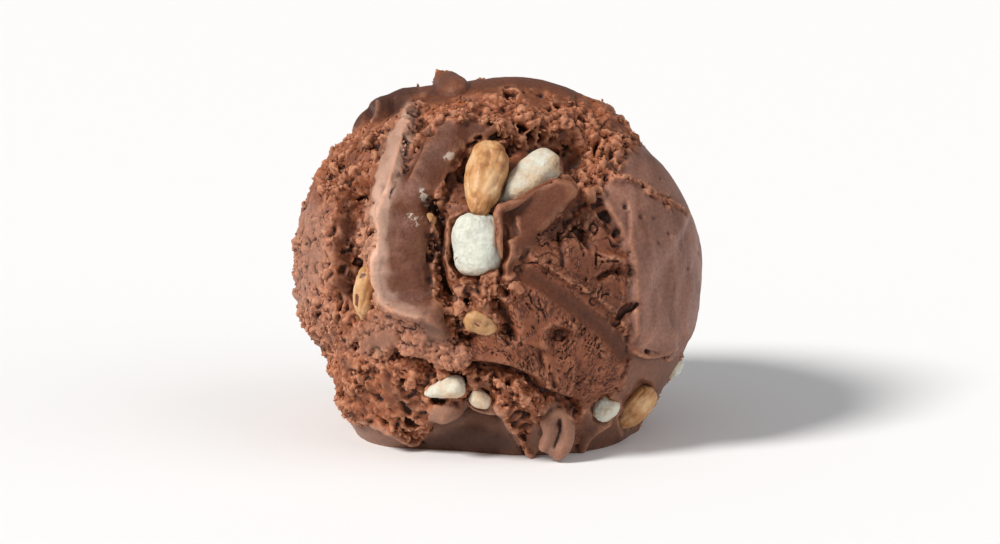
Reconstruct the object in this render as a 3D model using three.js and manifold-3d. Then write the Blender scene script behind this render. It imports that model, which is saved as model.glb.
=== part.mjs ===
// One scoop of rocky road: chocolate ice cream with peanut kernels and mini marshmallows held in it.
// Millimetres, +Z up. The scoop stands on its flat foot over the origin, with its shown side towards -Y.

import * as THREE from "three";
import { ImprovedNoise } from "three/addons/math/ImprovedNoise.js";
import { mergeVertices } from "three/addons/utils/BufferGeometryUtils.js";
import Module from "manifold-3d";

const wasm = await Module();
wasm.setup();

// Driving sizes
const BALL_RADIUS = new THREE.Vector3(33.7, 33.2, 32.1); // of the pressed ball, before its foot
const BALL_CENTRE = new THREE.Vector3(0, 0, 25.2); // its height sets where the foot cuts the ball flat
const TOP_LEAN = 1.9; // how far the top has slid to the left as the scoop let go
const FOOT_SPREAD = 3.4; // how far the ball has sagged outwards at its foot
const SAG_HEIGHT = 9; // of the part that has sagged
const SIGHT_TILT = THREE.MathUtils.degToRad(12); // places on the front are measured square to this sight line
const FIT_GAP = 0.3; // between the ice cream and what it holds
const BALL_DETAIL = 17; // each icosahedron edge is cut into one more than this
const FRONT_BIAS = 1.5; // how much finer the ball's faces are in front
const CRAG_LENGTH = 5; // from one crag to the next
const CRAG_HEIGHT = 1.3;
const SWELL_LENGTH = 25; // from one slow swell of the ball to the next
const SWELL_HEIGHT = 0.8;
const SAMPLE_STEP = 1.2; // along a stroke
const HELD_LEAN = 0.85; // how far held pieces lie along the ball and not square to the sight line

const SIGHT_RIGHT = new THREE.Vector3(1, 0, 0);
const SIGHT_UP = new THREE.Vector3(0, Math.sin(SIGHT_TILT), Math.cos(SIGHT_TILT));
const SIGHT_AWAY = new THREE.Vector3(0, Math.cos(SIGHT_TILT), -Math.sin(SIGHT_TILT));

// Strokes stand out of the surface by lift, or sink into it, with half as half their width. A place on the
// front is [across, up], square to the sight line.
const STROKES = [
  {
    name: "fold crest",
    half: 1.6,
    lift: 1.8,
    path: [[-18.4, 20], [-20, 22.8], [-20.3, 26], [-19.5, 30], [-19, 33.6], [-17.8, 37.4], [-16.8, 41]],
  },
  {
    name: "upper end of the crest",
    half: 1.1,
    lift: 0.9,
    path: [[-17.4, 39], [-16.3, 42.4], [-15.3, 47.2], [-14.6, 52]],
  },
  {
    name: "valley left of the crest",
    half: 1.5,
    lift: -2,
    path: [[-22.8, 38], [-24, 34], [-24.6, 29], [-24.6, 24]],
  },
  {
    name: "groove inside the crest",
    half: 1.3,
    lift: -1,
    path: [[-12.6, 49.4], [-14.2, 45.4], [-15.8, 41.6], [-17, 38]],
  },
  {
    name: "upper rim of the hollow",
    half: 1.5,
    lift: 1,
    path: [[-10, 49.6], [-6, 49.6], [-1, 49], [4, 49.6], [9, 49.6], [13, 48]],
  },
  {
    name: "cleft",
    half: 1.3,
    lift: -4.2,
    path: [[-10.9, 36.2], [-10.1, 33], [-10.5, 30], [-10.4, 26.5], [-9.9, 23.5], [-8.6, 21.2]],
  },
  {
    name: "scraped band",
    half: 1.6,
    lift: -1.5,
    path: [[4.2, 25.2], [7.6, 23.6], [10.6, 21.2], [13.8, 18.9], [16.3, 17], [18.6, 15], [20.3, 12.2]],
  },
  { name: "tear at the left", half: 1.3, lift: -3, path: [[-17.4, 11.3], [-14, 10.2], [-11.7, 8.9]] },
  {
    name: "gap under the fan",
    half: 1.3,
    lift: -3.2,
    path: [[-4.4, 9.6], [-2, 9.4], [0.5, 9.1], [3.1, 8.2], [5.3, 7.2], [7.2, 5.3], [9.3, 4.4], [12, 3.4]],
  },
  { name: "flake in the gap", half: 1.1, lift: 1.8, path: [[-2.4, 8.2], [1.4, 7.3], [4.2, 5.3], [6, 2.9]] },
  { name: "pit beside the low kernel", half: 1.5, lift: -3.2, path: [[-7.6, 16.8], [-6.6, 15], [-5.4, 14]] },
  { name: "gap beside the fan", half: 1.2, lift: -2.2, path: [[-1, 20.8], [0.4, 19], [1.4, 17], [1.9, 15]] },
  { name: "crack beside the dome", half: 1, lift: -1.8, path: [[22.3, 19.7], [20.6, 19.1], [19.4, 16.8]] },
  {
    name: "wiped hollow at the upper left",
    half: 2.2,
    lift: -2.2,
    path: [[-27, 46.5], [-23, 50], [-18, 52.6]],
  },
  {
    name: "gap between the mounds",
    half: 1.2,
    lift: -1.8,
    path: [[-6, 3.1], [-5, 1.7], [-3, 0.9], [-0.8, 0.6]],
  },
  { name: "fold by the curl", half: 1, lift: 1, path: [[17.6, 1], [15.9, 0], [14.3, -1.6], [12.9, -4.5]] },
];

// Edges of smeared layers: the left of the way the path runs is lifted, or sunk, and evens out over run.
const EDGES = [
  {
    name: "crest",
    lift: 1.8,
    wall: 1.6,
    run: 4,
    path: [[-18, 37], [-16.9, 41], [-15.7, 45], [-15, 48.4], [-14.6, 52]],
  },
  {
    name: "top left of the flap",
    lift: 1.4,
    wall: 1.6,
    run: 6,
    path: [[-5, 49.8], [-9.8, 49.6], [-11.7, 47], [-13.3, 44], [-15.2, 41.6], [-16.8, 37.5]],
  },
  {
    name: "flap towards the cleft",
    lift: -2.2,
    wall: 1.8,
    run: 5,
    path: [[-9.6, 20], [-11.3, 23], [-11.5, 28], [-11.4, 33], [-10.4, 38], [-7, 43.4]],
  },
  {
    name: "hollow",
    lift: -3.9,
    wall: 1.8,
    run: 9,
    path: [
      [14.6, 39.5],
      [15, 43],
      [12.8, 46.4],
      [9, 47.4],
      [4, 47.9],
      [-1, 47.2],
      [-6.4, 43.8],
      [-10.1, 37.6],
      [-10.7, 31],
      [-10.6, 26],
      [-9.2, 21.2],
      [-5, 20],
    ],
  },
  {
    name: "top of the dome",
    lift: 1.3,
    wall: 1.4,
    run: 14,
    path: [
      [31.5, 34],
      [28, 36],
      [25.6, 36.9],
      [23.8, 38.3],
      [22, 39.5],
      [19.8, 40.4],
      [17.6, 39.6],
      [15.8, 37.8],
    ],
  },
  {
    name: "left of the dome",
    lift: 1.2,
    wall: 1.4,
    run: 14,
    path: [[15.4, 38], [17.4, 35], [19.4, 31], [20.8, 27], [21.1, 22], [21.1, 17], [21.1, 12.6]],
  },
  {
    name: "foot of the dome",
    lift: 1,
    wall: 1.4,
    run: 8,
    path: [[20.9, 12.4], [23.3, 11.3], [26.3, 11.6], [29.4, 12.8]],
  },
  {
    name: "lip of the scraped band",
    lift: 1.3,
    wall: 1.4,
    run: 2.5,
    path: [
      [4.6, 27.2],
      [7.6, 25.6],
      [9.8, 24.2],
      [11.8, 22.9],
      [14.3, 21.5],
      [16.8, 19.6],
      [18.8, 17.5],
      [20.6, 13.4],
    ],
  },
  {
    name: "foot of the fan",
    lift: 1.3,
    wall: 1.4,
    run: 6,
    path: [[-17, 12], [-11, 10], [-4, 10.4], [0, 10], [3.4, 9.2], [6.4, 6.2], [9, 5.2], [12.4, 4.6]],
  },
  {
    name: "apron",
    lift: 2.8,
    wall: 1.4,
    run: 3.5,
    path: [[-1.4, 4], [0, 3], [1.8, 0.3], [3.5, -2.2], [4.8, -4.6]],
  },
  {
    name: "layer over the shelf",
    lift: 1.6,
    wall: 1.4,
    run: 6,
    path: [[-26.4, 1.9], [-21.5, 0.9], [-18.3, -0.2], [-15.8, -1.6], [-12.6, -3.4]],
  },
];

// Dents and mounds: an oval of half sizes [wide, high], turned, that sinks or stands out by lift.
const MOUNDS = [
  { name: "hollow under the kernel", at: [-3, 36], half: [5.5, 11], turn: 8, lift: -1.2 },
  { name: "hollow behind the tongue", at: [6.5, 42.5], half: [8, 4.4], turn: 34, lift: -2.8 },
  { name: "under the tongue", at: [10.8, 32.8], half: [2.2, 4.2], turn: -38, lift: -2.4 },
  { name: "hole by the dome", at: [13.8, 31.6], half: [1.5, 1.7], turn: 0, lift: -1.6 },
  { name: "hole over the tongue", at: [14, 44.8], half: [2, 1.6], turn: 20, lift: -1.8 },
  { name: "fan", at: [8, 14], half: [11, 9], turn: -20, lift: -0.7 },
  { name: "upper fan", at: [13.6, 27], half: [6, 5], turn: -20, lift: -0.8 },
  { name: "oval dent", at: [9.9, 15], half: [2.1, 1.1], turn: 5, lift: -1.7 },
  { name: "flake by the dome", at: [18.6, 27], half: [2, 1.2], turn: -16, lift: 1.9 },
  { name: "pad under the flap", at: [-15.5, 18.8], half: [3.4, 1.8], turn: -8, lift: 1.1 },
  { name: "pad by the low kernel", at: [-9.7, 17.3], half: [2.2, 3], turn: 10, lift: 1.1 },
  { name: "undercut", at: [-4.6, -2.4], half: [9, 3.2], turn: 0, lift: -5.2 },
  { name: "mound in the undercut", at: [-8.6, 2.5], half: [2.4, 1.9], turn: -10, lift: 2.6 },
  { name: "second mound in the undercut", at: [-1.6, 2.4], half: [2.8, 1.6], turn: -14, lift: 2 },
  { name: "lower left mass", at: [-21, 8], half: [7, 6], turn: 0, lift: 0.8 },
  { name: "notch at the left", at: [-30.6, 11], half: [3.2, 3.4], turn: 0, lift: -2.8 },
  { name: "nub at the left", at: [-34, 21.5], half: [1.2, 1], turn: 0, lift: 1 },
  { name: "lump at the upper right", at: [17.8, 51.8], half: [1.9, 1.6], turn: -40, lift: 0.9 },
  { name: "left shoulder", at: [-20.5, 48.5], half: [9, 5], turn: 42, lift: 3 },
  { name: "crown", at: [3, 56], half: [12, 4], turn: 0, lift: 1.4 },
  { name: "right shoulder", at: [17, 51], half: [7, 5], turn: -40, lift: 1.3 },
];

// Smooth patches, where the scoop's bowl has wiped the crags away.
const SMOOTH = [
  { at: [28, 24], half: [12, 16], turn: 10 },
  { at: [-15, 30], half: [5, 16], turn: 8 },
  { at: [-20, 52.5], half: [9, 3.5], turn: 38 },
  { at: [-4, 57], half: [9, 3], turn: 0 },
  { at: [3, 36], half: [11, 12], turn: 0 },
  { at: [10, 18], half: [12, 13], turn: -20 },
  { at: [-12, -2.5], half: [16, 3.5], turn: -6 },
  { at: [20, 2], half: [12, 6], turn: 12 },
];

// Folds and a tear round the back, by height and bearing in degrees from the front and anticlockwise.
const BACK_STROKES = [
  {
    name: "fold round the back",
    half: 3.4,
    lift: 1.9,
    path: [
      { bearing: 118, height: 14 },
      { bearing: 140, height: 27 },
      { bearing: 168, height: 36 },
      { bearing: 200, height: 40 },
      { bearing: 228, height: 34 },
    ],
  },
  {
    name: "valley under the back fold",
    half: 3.2,
    lift: -2.2,
    path: [
      { bearing: 128, height: 12 },
      { bearing: 150, height: 22 },
      { bearing: 174, height: 29 },
      { bearing: 202, height: 32 },
    ],
  },
  {
    name: "tear low at the back",
    half: 1.8,
    lift: -2.4,
    path: [
      { bearing: 160, height: 9 },
      { bearing: 180, height: 12 },
      { bearing: 205, height: 9 },
    ],
  },
];

// Rolls of ice cream that stand clear of the ball: each is drawn out along a path of [across, up, rise], or
// through points in space, with a radius at each point. flat is its thickness over its breadth.
const ROLLS = [
  { name: "knob on the tongue", flat: 1, faces: 1, path: [[11, 38.6, 0], [12.2, 38, 0]], radii: [1.5, 1.3] },
  {
    name: "lump by the top of the dome",
    flat: 1,
    faces: 1,
    path: [[14, 37.2, -0.6], [16.4, 38, -0.6]],
    radii: [1.2, 1.3],
  },
  {
    name: "knob under the marshmallow",
    flat: 1,
    faces: 2,
    path: [[-2.4, 20.8, -1.6], [-1.8, 22.8, -1], [-0.8, 25.2, -1.6]],
    radii: [1.1, 1.6, 1.3],
  },
  { name: "small knob", flat: 1, faces: 1, path: [[2.5, 23.2, -0.3], [3.3, 21.9, -0.3]], radii: [0.95, 1] },
  {
    name: "curl at the foot",
    flat: 1,
    faces: 2,
    points: [
      [7.2, -26.8, 2.4],
      [8.1, -27, 4.7],
      [8.1, -26.7, 6.7],
      [9.4, -26.4, 7.7],
      [10.7, -26.4, 6.7],
      [10.9, -26.7, 4.5],
      [10, -26.8, 2.2],
      [9, -26.8, 1.2],
    ],
    radii: [1.9, 1.3, 1.4, 1.4, 1.45, 1.5, 1.8, 1.7],
  },
  {
    name: "back of the curl",
    flat: 1,
    faces: 1,
    points: [[9.4, -25.9, 6], [8.9, -25.9, 1.8]],
    radii: [1.8, 2.3],
  },
  {
    name: "horn on top",
    flat: 0.8,
    faces: 2,
    path: [[-7.4, 54.8, 0], [-9, 56.8, 0], [-10.1, 59, 0]],
    radii: [2.9, 1.8, 0.5],
  },
  {
    name: "shoulder of the horn",
    flat: 0.8,
    faces: 1,
    path: [[-12.4, 54, 0], [-12.9, 56.4, 0]],
    radii: [2, 0.7],
  },
];

// The tongue of ice cream over the marshmallow: a slab of this outline, turned to face left and up.
const TONGUE = {
  outline: [
    [-0.4, 24.8],
    [-0.1, 30],
    [-0.6, 35.2],
    [2, 36.4],
    [5.4, 38.5],
    [8.9, 40.3],
    [11.6, 39.8],
    [12.8, 38],
    [9.3, 34],
    [7, 31.6],
    [4.2, 29.2],
    [2.4, 25.2],
  ],
  middle: [5, 33.6],
  rise: -0.6, // of its face's middle over the ball
  thick: 3.4,
  faceLeft: 4, // degrees
  faceUp: 6,
  round: 0.9,
};

// What the ice cream holds. sink is how far its middle lies under the ball's own surface. long is along its
// axis, which lies at turn degrees from level as seen from the front and dips by dip towards the viewer.
const KERNELS = [
  {
    name: "peanut_top",
    at: [-2.1, 40.5],
    sink: 1.5,
    long: 13.1,
    wide: 6.7,
    thick: 6.4,
    turn: 81,
    dip: 0,
    faces: 3,
  },
  {
    name: "peanut_in_cleft",
    at: [-11.9, 31.8],
    sink: 4.1,
    long: 6.4,
    wide: 3.6,
    thick: 3.8,
    turn: 80,
    dip: 0,
    faces: 2,
  },
  {
    name: "peanut_by_crest",
    at: [-21.3, 22.2],
    sink: 2.9,
    long: 9.4,
    wide: 4.2,
    thick: 5,
    turn: 84,
    dip: 0,
    faces: 2,
  },
  {
    name: "peanut_low",
    at: [-3, 17.1],
    sink: 1.7,
    long: 6.2,
    wide: 3.8,
    thick: 4,
    turn: 155,
    dip: 0,
    faces: 2,
  },
  {
    name: "peanut_right",
    at: [22.4, 3.1],
    sink: 1.5,
    long: 8.6,
    wide: 5.2,
    thick: 5,
    turn: 60,
    dip: 0,
    faces: 2,
  },
  {
    name: "peanut_back_left",
    at: { bearing: 210, height: 38 },
    sink: 1.2,
    long: 12,
    wide: 7,
    thick: 6.2,
    turn: 30,
    dip: 0,
    faces: 2,
  },
  {
    name: "peanut_back_low",
    at: { bearing: 172, height: 17 },
    sink: 1.8,
    long: 11.4,
    wide: 6.6,
    thick: 6,
    turn: 115,
    dip: 0,
    faces: 2,
  },
];

// A marshmallow's tail is how far the end away from turn is drawn out, over its half length.
const MARSHMALLOWS = [
  {
    name: "marshmallow_middle",
    at: [-3.4, 29.5],
    sink: 3.4,
    long: 10,
    wide: 8.2,
    thick: 8,
    turn: 98,
    dip: 8,
    tail: 0,
    faces: 3,
  },
  {
    name: "marshmallow_behind",
    at: [5.1, 39.9],
    sink: 4.4,
    long: 12.8,
    wide: 6.6,
    thick: 7,
    turn: 42,
    dip: 0,
    tail: 0,
    faces: 2,
  },
  {
    name: "marshmallow_torn",
    at: [-7.8, 6.6],
    sink: 1.2,
    long: 4.6,
    wide: 3.9,
    thick: 4.4,
    turn: 18,
    dip: 0,
    tail: 1,
    faces: 2,
  },
  {
    name: "marshmallow_by_torn",
    at: [-3, 4.6],
    sink: 0.9,
    long: 3.4,
    wide: 2.8,
    thick: 3.2,
    turn: 150,
    dip: 0,
    tail: 0,
    faces: 2,
  },
  {
    name: "marshmallow_right",
    at: [17.2, 3.1],
    sink: 0.7,
    long: 4.4,
    wide: 3.9,
    thick: 4.4,
    turn: 60,
    dip: 0,
    tail: 0,
    faces: 2,
  },
  {
    name: "marshmallow_top_edge",
    at: { bearing: 122, height: 54.6 },
    sink: 1.2,
    long: 6.4,
    wide: 5,
    thick: 5,
    turn: 10,
    dip: 0,
    tail: 0,
    faces: 2,
  },
  {
    name: "marshmallow_back",
    at: { bearing: 158, height: 42 },
    sink: 3,
    long: 10,
    wide: 8.4,
    thick: 8.4,
    turn: 60,
    dip: 0,
    tail: 0,
    faces: 2,
  },
  {
    name: "marshmallow_side",
    at: { bearing: 81, height: 10.2 },
    sink: 1.5,
    long: 5.2,
    wide: 4.2,
    thick: 4.6,
    turn: 15,
    dip: 0,
    tail: 0,
    faces: 2,
  },
];

const noise = new ImprovedNoise();
const smoothstep = THREE.MathUtils.smoothstep;

function noiseAt(point, length, shift) {
  return noise.noise(point.x / length + shift, point.y / length + 2 * shift, point.z / length + 3 * shift);
}

// The point of the true ball at a place.
function onBall(place) {
  return Array.isArray(place) ? onFront(place[0], place[1]) : roundBall(place.bearing, place.height);
}

// The point of the settled ball at a place, moved by rise towards the viewer, or outwards where none is.
function spotAt(place, rise) {
  const point = onBall(place);
  const out = Array.isArray(place) ? SIGHT_AWAY.clone().negate() : normalAt(point);
  return settled(point).addScaledVector(out, rise);
}

// The true ball's point that is seen at [across, up] once the ball has settled.
function onFront(across, up) {
  const aim = new THREE.Vector2(across, up);
  let point;
  for (let i = 0; i < 4; i++) {
    point = metBy(aim);
    const seen = seenAt(settled(point));
    aim.x += across - seen.x;
    aim.y += up - seen.y;
  }
  return point;
}

// Where a point lies on the picture: across and up.
function seenAt(point) {
  return new THREE.Vector2(point.dot(SIGHT_RIGHT), point.dot(SIGHT_UP));
}

// Where a sight line first meets the true ball. Past the ball's outline it is where the line comes nearest.
function metBy(aim) {
  const start = SIGHT_RIGHT.clone().multiplyScalar(aim.x).addScaledVector(SIGHT_UP, aim.y).sub(BALL_CENTRE);
  const s = start.clone().divide(BALL_RADIUS);
  const d = SIGHT_AWAY.clone().divide(BALL_RADIUS);
  const a = d.dot(d);
  const b = s.dot(d);
  const c = s.dot(s) - 1;
  const root = Math.sqrt(Math.max(b * b - a * c, 0));
  return start.addScaledVector(SIGHT_AWAY, (-b - root) / a).add(BALL_CENTRE);
}

// The ball leans to the left at its top and sags outwards at its foot.
function settled(point) {
  const moved = point.clone();
  moved.x -= TOP_LEAN * smoothstep(point.z, 26, 50);
  const low = THREE.MathUtils.clamp(1 - point.z / SAG_HEIGHT, 0, 1.4);
  const outwards = new THREE.Vector3(point.x, point.y, 0).normalize();
  return moved.addScaledVector(outwards, FOOT_SPREAD * low * low);
}

function roundBall(bearing, height) {
  const angle = THREE.MathUtils.degToRad(bearing);
  const rise = (height - BALL_CENTRE.z) / BALL_RADIUS.z;
  const share = Math.sqrt(Math.max(1 - rise * rise, 0));
  const across = Math.sin(angle) * share * BALL_RADIUS.x;
  return new THREE.Vector3(across, -Math.cos(angle) * share * BALL_RADIUS.y, height);
}

function normalAt(point) {
  return point.clone().sub(BALL_CENTRE).divide(BALL_RADIUS).divide(BALL_RADIUS).normalize();
}

// The axes of a place: right, up and out. They follow the surface, but in front they face the viewer, and
// lean from there towards the surface by the share lean.
function axesAt(place, lean) {
  const out = normalAt(onBall(place));
  if (Array.isArray(place)) out.lerp(SIGHT_AWAY.clone().negate(), 1 - lean).normalize();
  const right = new THREE.Vector3(0, 0, 1).cross(out).normalize();
  return { right, up: out.clone().cross(right), out };
}

// Even points along a stroke on the picture, whose depth counts for nothing.
function flatLine(stroke) {
  return withLine(stroke, ([across, up]) => new THREE.Vector3(across, up, 0));
}

function ballLine(stroke) {
  return withLine(stroke, onBall);
}

function withLine(stroke, pointOf) {
  const curve = new THREE.CatmullRomCurve3(stroke.path.map((place) => pointOf(place)));
  return { ...stroke, line: curve.getSpacedPoints(Math.ceil(curve.getLength() / SAMPLE_STEP)) };
}

// How far point is from a stroke's line, which side of it it is on, and how far along the line that is.
function nearest(point, line) {
  let best = { away: Infinity, side: 0, along: 0 };
  const step = new THREE.Vector3();
  const offset = new THREE.Vector3();
  for (let i = 0; i + 1 < line.length; i++) {
    step.subVectors(line[i + 1], line[i]);
    offset.subVectors(point, line[i]);
    const share = THREE.MathUtils.clamp(offset.dot(step) / step.lengthSq(), 0, 1);
    offset.addScaledVector(step, -share);
    const away = offset.length();
    if (away < best.away) {
      const side = Math.sign(step.x * offset.y - step.y * offset.x);
      best = { away, side, along: (i + share) / (line.length - 1) };
    }
  }
  return best;
}

const strokes = STROKES.map(flatLine);
const edges = EDGES.map(flatLine);
const backStrokes = BACK_STROKES.map(ballLine);

// How deep inside an oval patch of the picture a place is: 1 in its middle and 0.37 on its border.
function inOval(seen, { at, half, turn }) {
  const offset = new THREE.Vector2(seen.x - at[0], seen.y - at[1]);
  offset.rotateAround(new THREE.Vector2(), THREE.MathUtils.degToRad(-turn));
  return Math.exp(-((offset.x / half[0]) ** 2) - (offset.y / half[1]) ** 2);
}

function moundsAt(seen) {
  return MOUNDS.reduce((lift, mound) => lift + mound.lift * inOval(seen, mound), 0);
}

function edgesAt(seen) {
  const place = new THREE.Vector3(seen.x, seen.y, 0);
  return edges.reduce((total, { line, lift, wall, run }) => {
    const { away, side, along } = nearest(place, line);
    const ends = smoothstep(along, 0, 0.12) * smoothstep(1 - along, 0, 0.12);
    const inside = away * side;
    const height = lift * ends * smoothstep(inside, -wall / 2, wall / 2);
    return total + height * Math.exp(-Math.max(inside, 0) / run);
  }, 0);
}

function strokesAt(place, lines) {
  return lines.reduce((total, { line, half, lift }) => {
    const { away } = nearest(place, line);
    return total + lift * Math.exp(-((away / half) ** 2));
  }, 0);
}

function cragsAt(point, front) {
  const seen = seenAt(point);
  const wiped = front * SMOOTH.reduce((most, patch) => Math.max(most, inOval(seen, patch)), 0);
  const rough = 1 - smoothstep(wiped, 0.25, 0.6);
  const coarse = noiseAt(point, CRAG_LENGTH, 1.7) + 0.5 * noiseAt(point, CRAG_LENGTH / 2, 5.1);
  return rough * CRAG_HEIGHT * coarse;
}

// 1 on the ball's near side and 0 on its far side.
function frontShare(point) {
  return smoothstep(BALL_CENTRE.clone().sub(point).dot(SIGHT_AWAY), -3, 3);
}

// A point of the ball with its relief. Each kind of mark is measured on the picture of the one before.
function pressed(raw) {
  const out = normalAt(raw);
  const swell = SWELL_HEIGHT * noiseAt(raw, SWELL_LENGTH, 9.3) + strokesAt(raw, backStrokes);
  const point = settled(raw.clone().addScaledVector(out, swell));
  for (const marks of [moundsAt, edgesAt]) {
    point.addScaledVector(out, frontShare(point) * marks(seenAt(point)));
  }
  const seen = seenAt(point);
  point.addScaledVector(out, frontShare(point) * strokesAt(new THREE.Vector3(seen.x, seen.y, 0), strokes));
  return point.addScaledVector(out, cragsAt(point, frontShare(point)));
}

// Gathers a unit sphere's points towards the front without stretching its faces.
function towardsFront(direction) {
  const front = SIGHT_AWAY.clone().negate();
  const cos = direction.dot(front);
  const square = FRONT_BIAS * FRONT_BIAS;
  const moved = ((square + 1) * cos + (square - 1)) / ((square - 1) * cos + (square + 1));
  const rest = direction.clone().addScaledVector(front, -cos).normalize();
  return front.multiplyScalar(moved).addScaledVector(rest, Math.sqrt(Math.max(1 - moved * moved, 0)));
}

// A geometry with only positions and shared vertices.
function welded(geometry) {
  const bare = geometry.clone();
  bare.deleteAttribute("normal");
  bare.deleteAttribute("uv");
  return mergeVertices(bare, 1e-4);
}

// Moves each vertex of a geometry to where place says.
function reshaped(geometry, place) {
  const positions = geometry.attributes.position;
  const v = new THREE.Vector3();
  for (let i = 0; i < positions.count; i++) {
    const moved = place(v.fromBufferAttribute(positions, i).clone());
    positions.setXYZ(i, moved.x, moved.y, moved.z);
  }
  return geometry;
}

function grown(geometry, gap) {
  const bigger = geometry.clone();
  bigger.computeVertexNormals();
  const normals = bigger.attributes.normal;
  const positions = bigger.attributes.position;
  for (let i = 0; i < positions.count; i++) {
    positions.setXYZ(
      i,
      positions.getX(i) + normals.getX(i) * gap,
      positions.getY(i) + normals.getY(i) * gap,
      positions.getZ(i) + normals.getZ(i) * gap,
    );
  }
  return bigger;
}

function solidOf(geometry) {
  return new wasm.Manifold(
    new wasm.Mesh({
      numProp: 3,
      vertProperties: new Float32Array(geometry.attributes.position.array),
      triVerts: new Uint32Array(geometry.index.array),
    }),
  );
}

// The largest body of a solid, without any loose scrap.
function wholeOf(solid) {
  return solid.decompose().reduce((a, b) => (a.volume() > b.volume() ? a : b));
}

function geometryOf(solid) {
  const { vertProperties, triVerts } = solid.getMesh();
  const geometry = new THREE.BufferGeometry();
  geometry.setAttribute("position", new THREE.BufferAttribute(new Float32Array(vertProperties), 3));
  geometry.setIndex(new THREE.BufferAttribute(new Uint32Array(triVerts), 1));
  geometry.computeVertexNormals();
  return geometry;
}

function ball(faces) {
  return welded(new THREE.IcosahedronGeometry(1, faces));
}

function ballGeometry() {
  return reshaped(ball(BALL_DETAIL), (direction) =>
    pressed(towardsFront(direction.normalize()).multiply(BALL_RADIUS).add(BALL_CENTRE)),
  );
}

// A unit sphere whose poles are drawn out along a path, with the roll's radius at each place along it.
function rollGeometry({ path, points, radii, flat, faces }) {
  const places = points
    ? points.map((point) => new THREE.Vector3(...point))
    : path.map(([across, up, rise]) => spotAt([across, up], rise));
  const line = new THREE.CatmullRomCurve3(places);
  const sizes = new THREE.CatmullRomCurve3(radii.map((radius) => new THREE.Vector3(radius, 0, 0)));
  return reshaped(ball(faces), (v) => {
    const along = (v.z + 1) / 2;
    const radius = sizes.getPoint(along).x * Math.sqrt(1 + v.z * v.z);
    const ahead = line.getTangent(along);
    const side = new THREE.Vector3().crossVectors(SIGHT_AWAY, ahead).normalize();
    const away = new THREE.Vector3().crossVectors(ahead, side);
    const point = line.getPoint(along).addScaledVector(ahead, v.z * radius * 0.4);
    return point.addScaledVector(side, v.x * radius).addScaledVector(away, v.y * radius * flat);
  });
}

function tongueGeometry({ outline, middle, rise, thick, faceLeft, faceUp, round }) {
  const corner = ([across, up]) => new THREE.Vector2(across - middle[0], up - middle[1]);
  const shape = new THREE.Shape(outline.map(corner));
  const slab = new THREE.ExtrudeGeometry(shape, {
    depth: thick,
    steps: 1,
    bevelEnabled: true,
    bevelThickness: round,
    bevelSize: round,
    bevelOffset: -round,
    bevelSegments: 2,
  });
  slab.translate(0, 0, -thick);
  slab.rotateY(THREE.MathUtils.degToRad(-faceLeft));
  slab.rotateX(THREE.MathUtils.degToRad(-faceUp));
  const facing = new THREE.Matrix4().makeBasis(SIGHT_RIGHT, SIGHT_UP, SIGHT_AWAY.clone().negate());
  return welded(slab).applyMatrix4(facing.setPosition(spotAt(middle, rise)));
}

// Turns and moves a geometry modelled with its long way along Y into its place in the ball.
function placed(geometry, { at, sink, turn, dip }) {
  const { right, up, out } = axesAt(at, HELD_LEAN);
  const axes = new THREE.Matrix4().makeBasis(right, up, out);
  const lean = new THREE.Matrix4().makeRotationZ(THREE.MathUtils.degToRad(turn - 90));
  const tip = new THREE.Matrix4().makeRotationX(THREE.MathUtils.degToRad(dip));
  const place = axes.multiply(lean).multiply(tip).setPosition(spotAt(at, -sink));
  return geometry.applyMatrix4(place);
}

// A skinned peanut kernel: an egg with a nib at one end and a shallow seam down its face.
function kernelGeometry(kernel) {
  const seed = kernel.name.length;
  const shaped = reshaped(ball(kernel.faces), (v) => {
    const taper = (1 + 0.12 * v.y) * (1 + 0.2 * v.y * v.y);
    const nib = 1 + 0.1 * smoothstep(-v.y, 0.8, 1);
    const seam = v.z > 0 ? 1 - 0.1 * Math.exp(-((v.x / 0.2) ** 2)) : 1;
    const dimple = 1 + 0.1 * noiseAt(v, 0.8, seed);
    return new THREE.Vector3(
      v.x * taper * dimple * (kernel.wide / 2),
      v.y * nib * (kernel.long / 2),
      v.z * taper * seam * dimple * (kernel.thick / 2),
    );
  });
  return placed(shaped, kernel);
}

// A mini marshmallow: a short cylinder with soft round edges, pressed out of true.
function marshmallowGeometry(marshmallow) {
  const squareness = 4;
  const seed = marshmallow.name.length;
  const shaped = reshaped(ball(marshmallow.faces), (v) => {
    const round = Math.hypot(v.x, v.z);
    const swell = (round ** squareness + Math.abs(v.y) ** squareness) ** (-1 / squareness);
    const press = 1 + 0.09 * noiseAt(v, 1.1, seed);
    const drawn = marshmallow.tail * smoothstep(-v.y, 0.1, 0.9);
    return v.multiplyScalar(swell * press).multiply(
      new THREE.Vector3(
        (marshmallow.wide / 2) * (1 - 0.55 * drawn),
        (marshmallow.long / 2) * (1 + drawn),
        (marshmallow.thick / 2) * (1 - 0.55 * drawn),
      ),
    );
  });
  return placed(shaped, marshmallow);
}

function named(name, geometry, material) {
  const mesh = new THREE.Mesh(geometry, material);
  mesh.name = name;
  return mesh;
}

const chocolate = new THREE.MeshStandardMaterial({ color: 0x83523f, roughness: 0.5, metalness: 0 });
const roasted = new THREE.MeshStandardMaterial({ color: 0xd8a66e, roughness: 0.45, metalness: 0 });
const white = new THREE.MeshStandardMaterial({ color: 0xe6e2d2, roughness: 0.7, metalness: 0 });

// Each held piece keeps clear of the ones before it, and the ice cream keeps clear of them all.
const held = [
  ...KERNELS.map((kernel) => ({ name: kernel.name, geometry: kernelGeometry(kernel), material: roasted })),
  ...MARSHMALLOWS.map((one) => ({ name: one.name, geometry: marshmallowGeometry(one), material: white })),
];
const pockets = held.map(({ geometry }) => solidOf(grown(geometry, FIT_GAP)));

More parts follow.
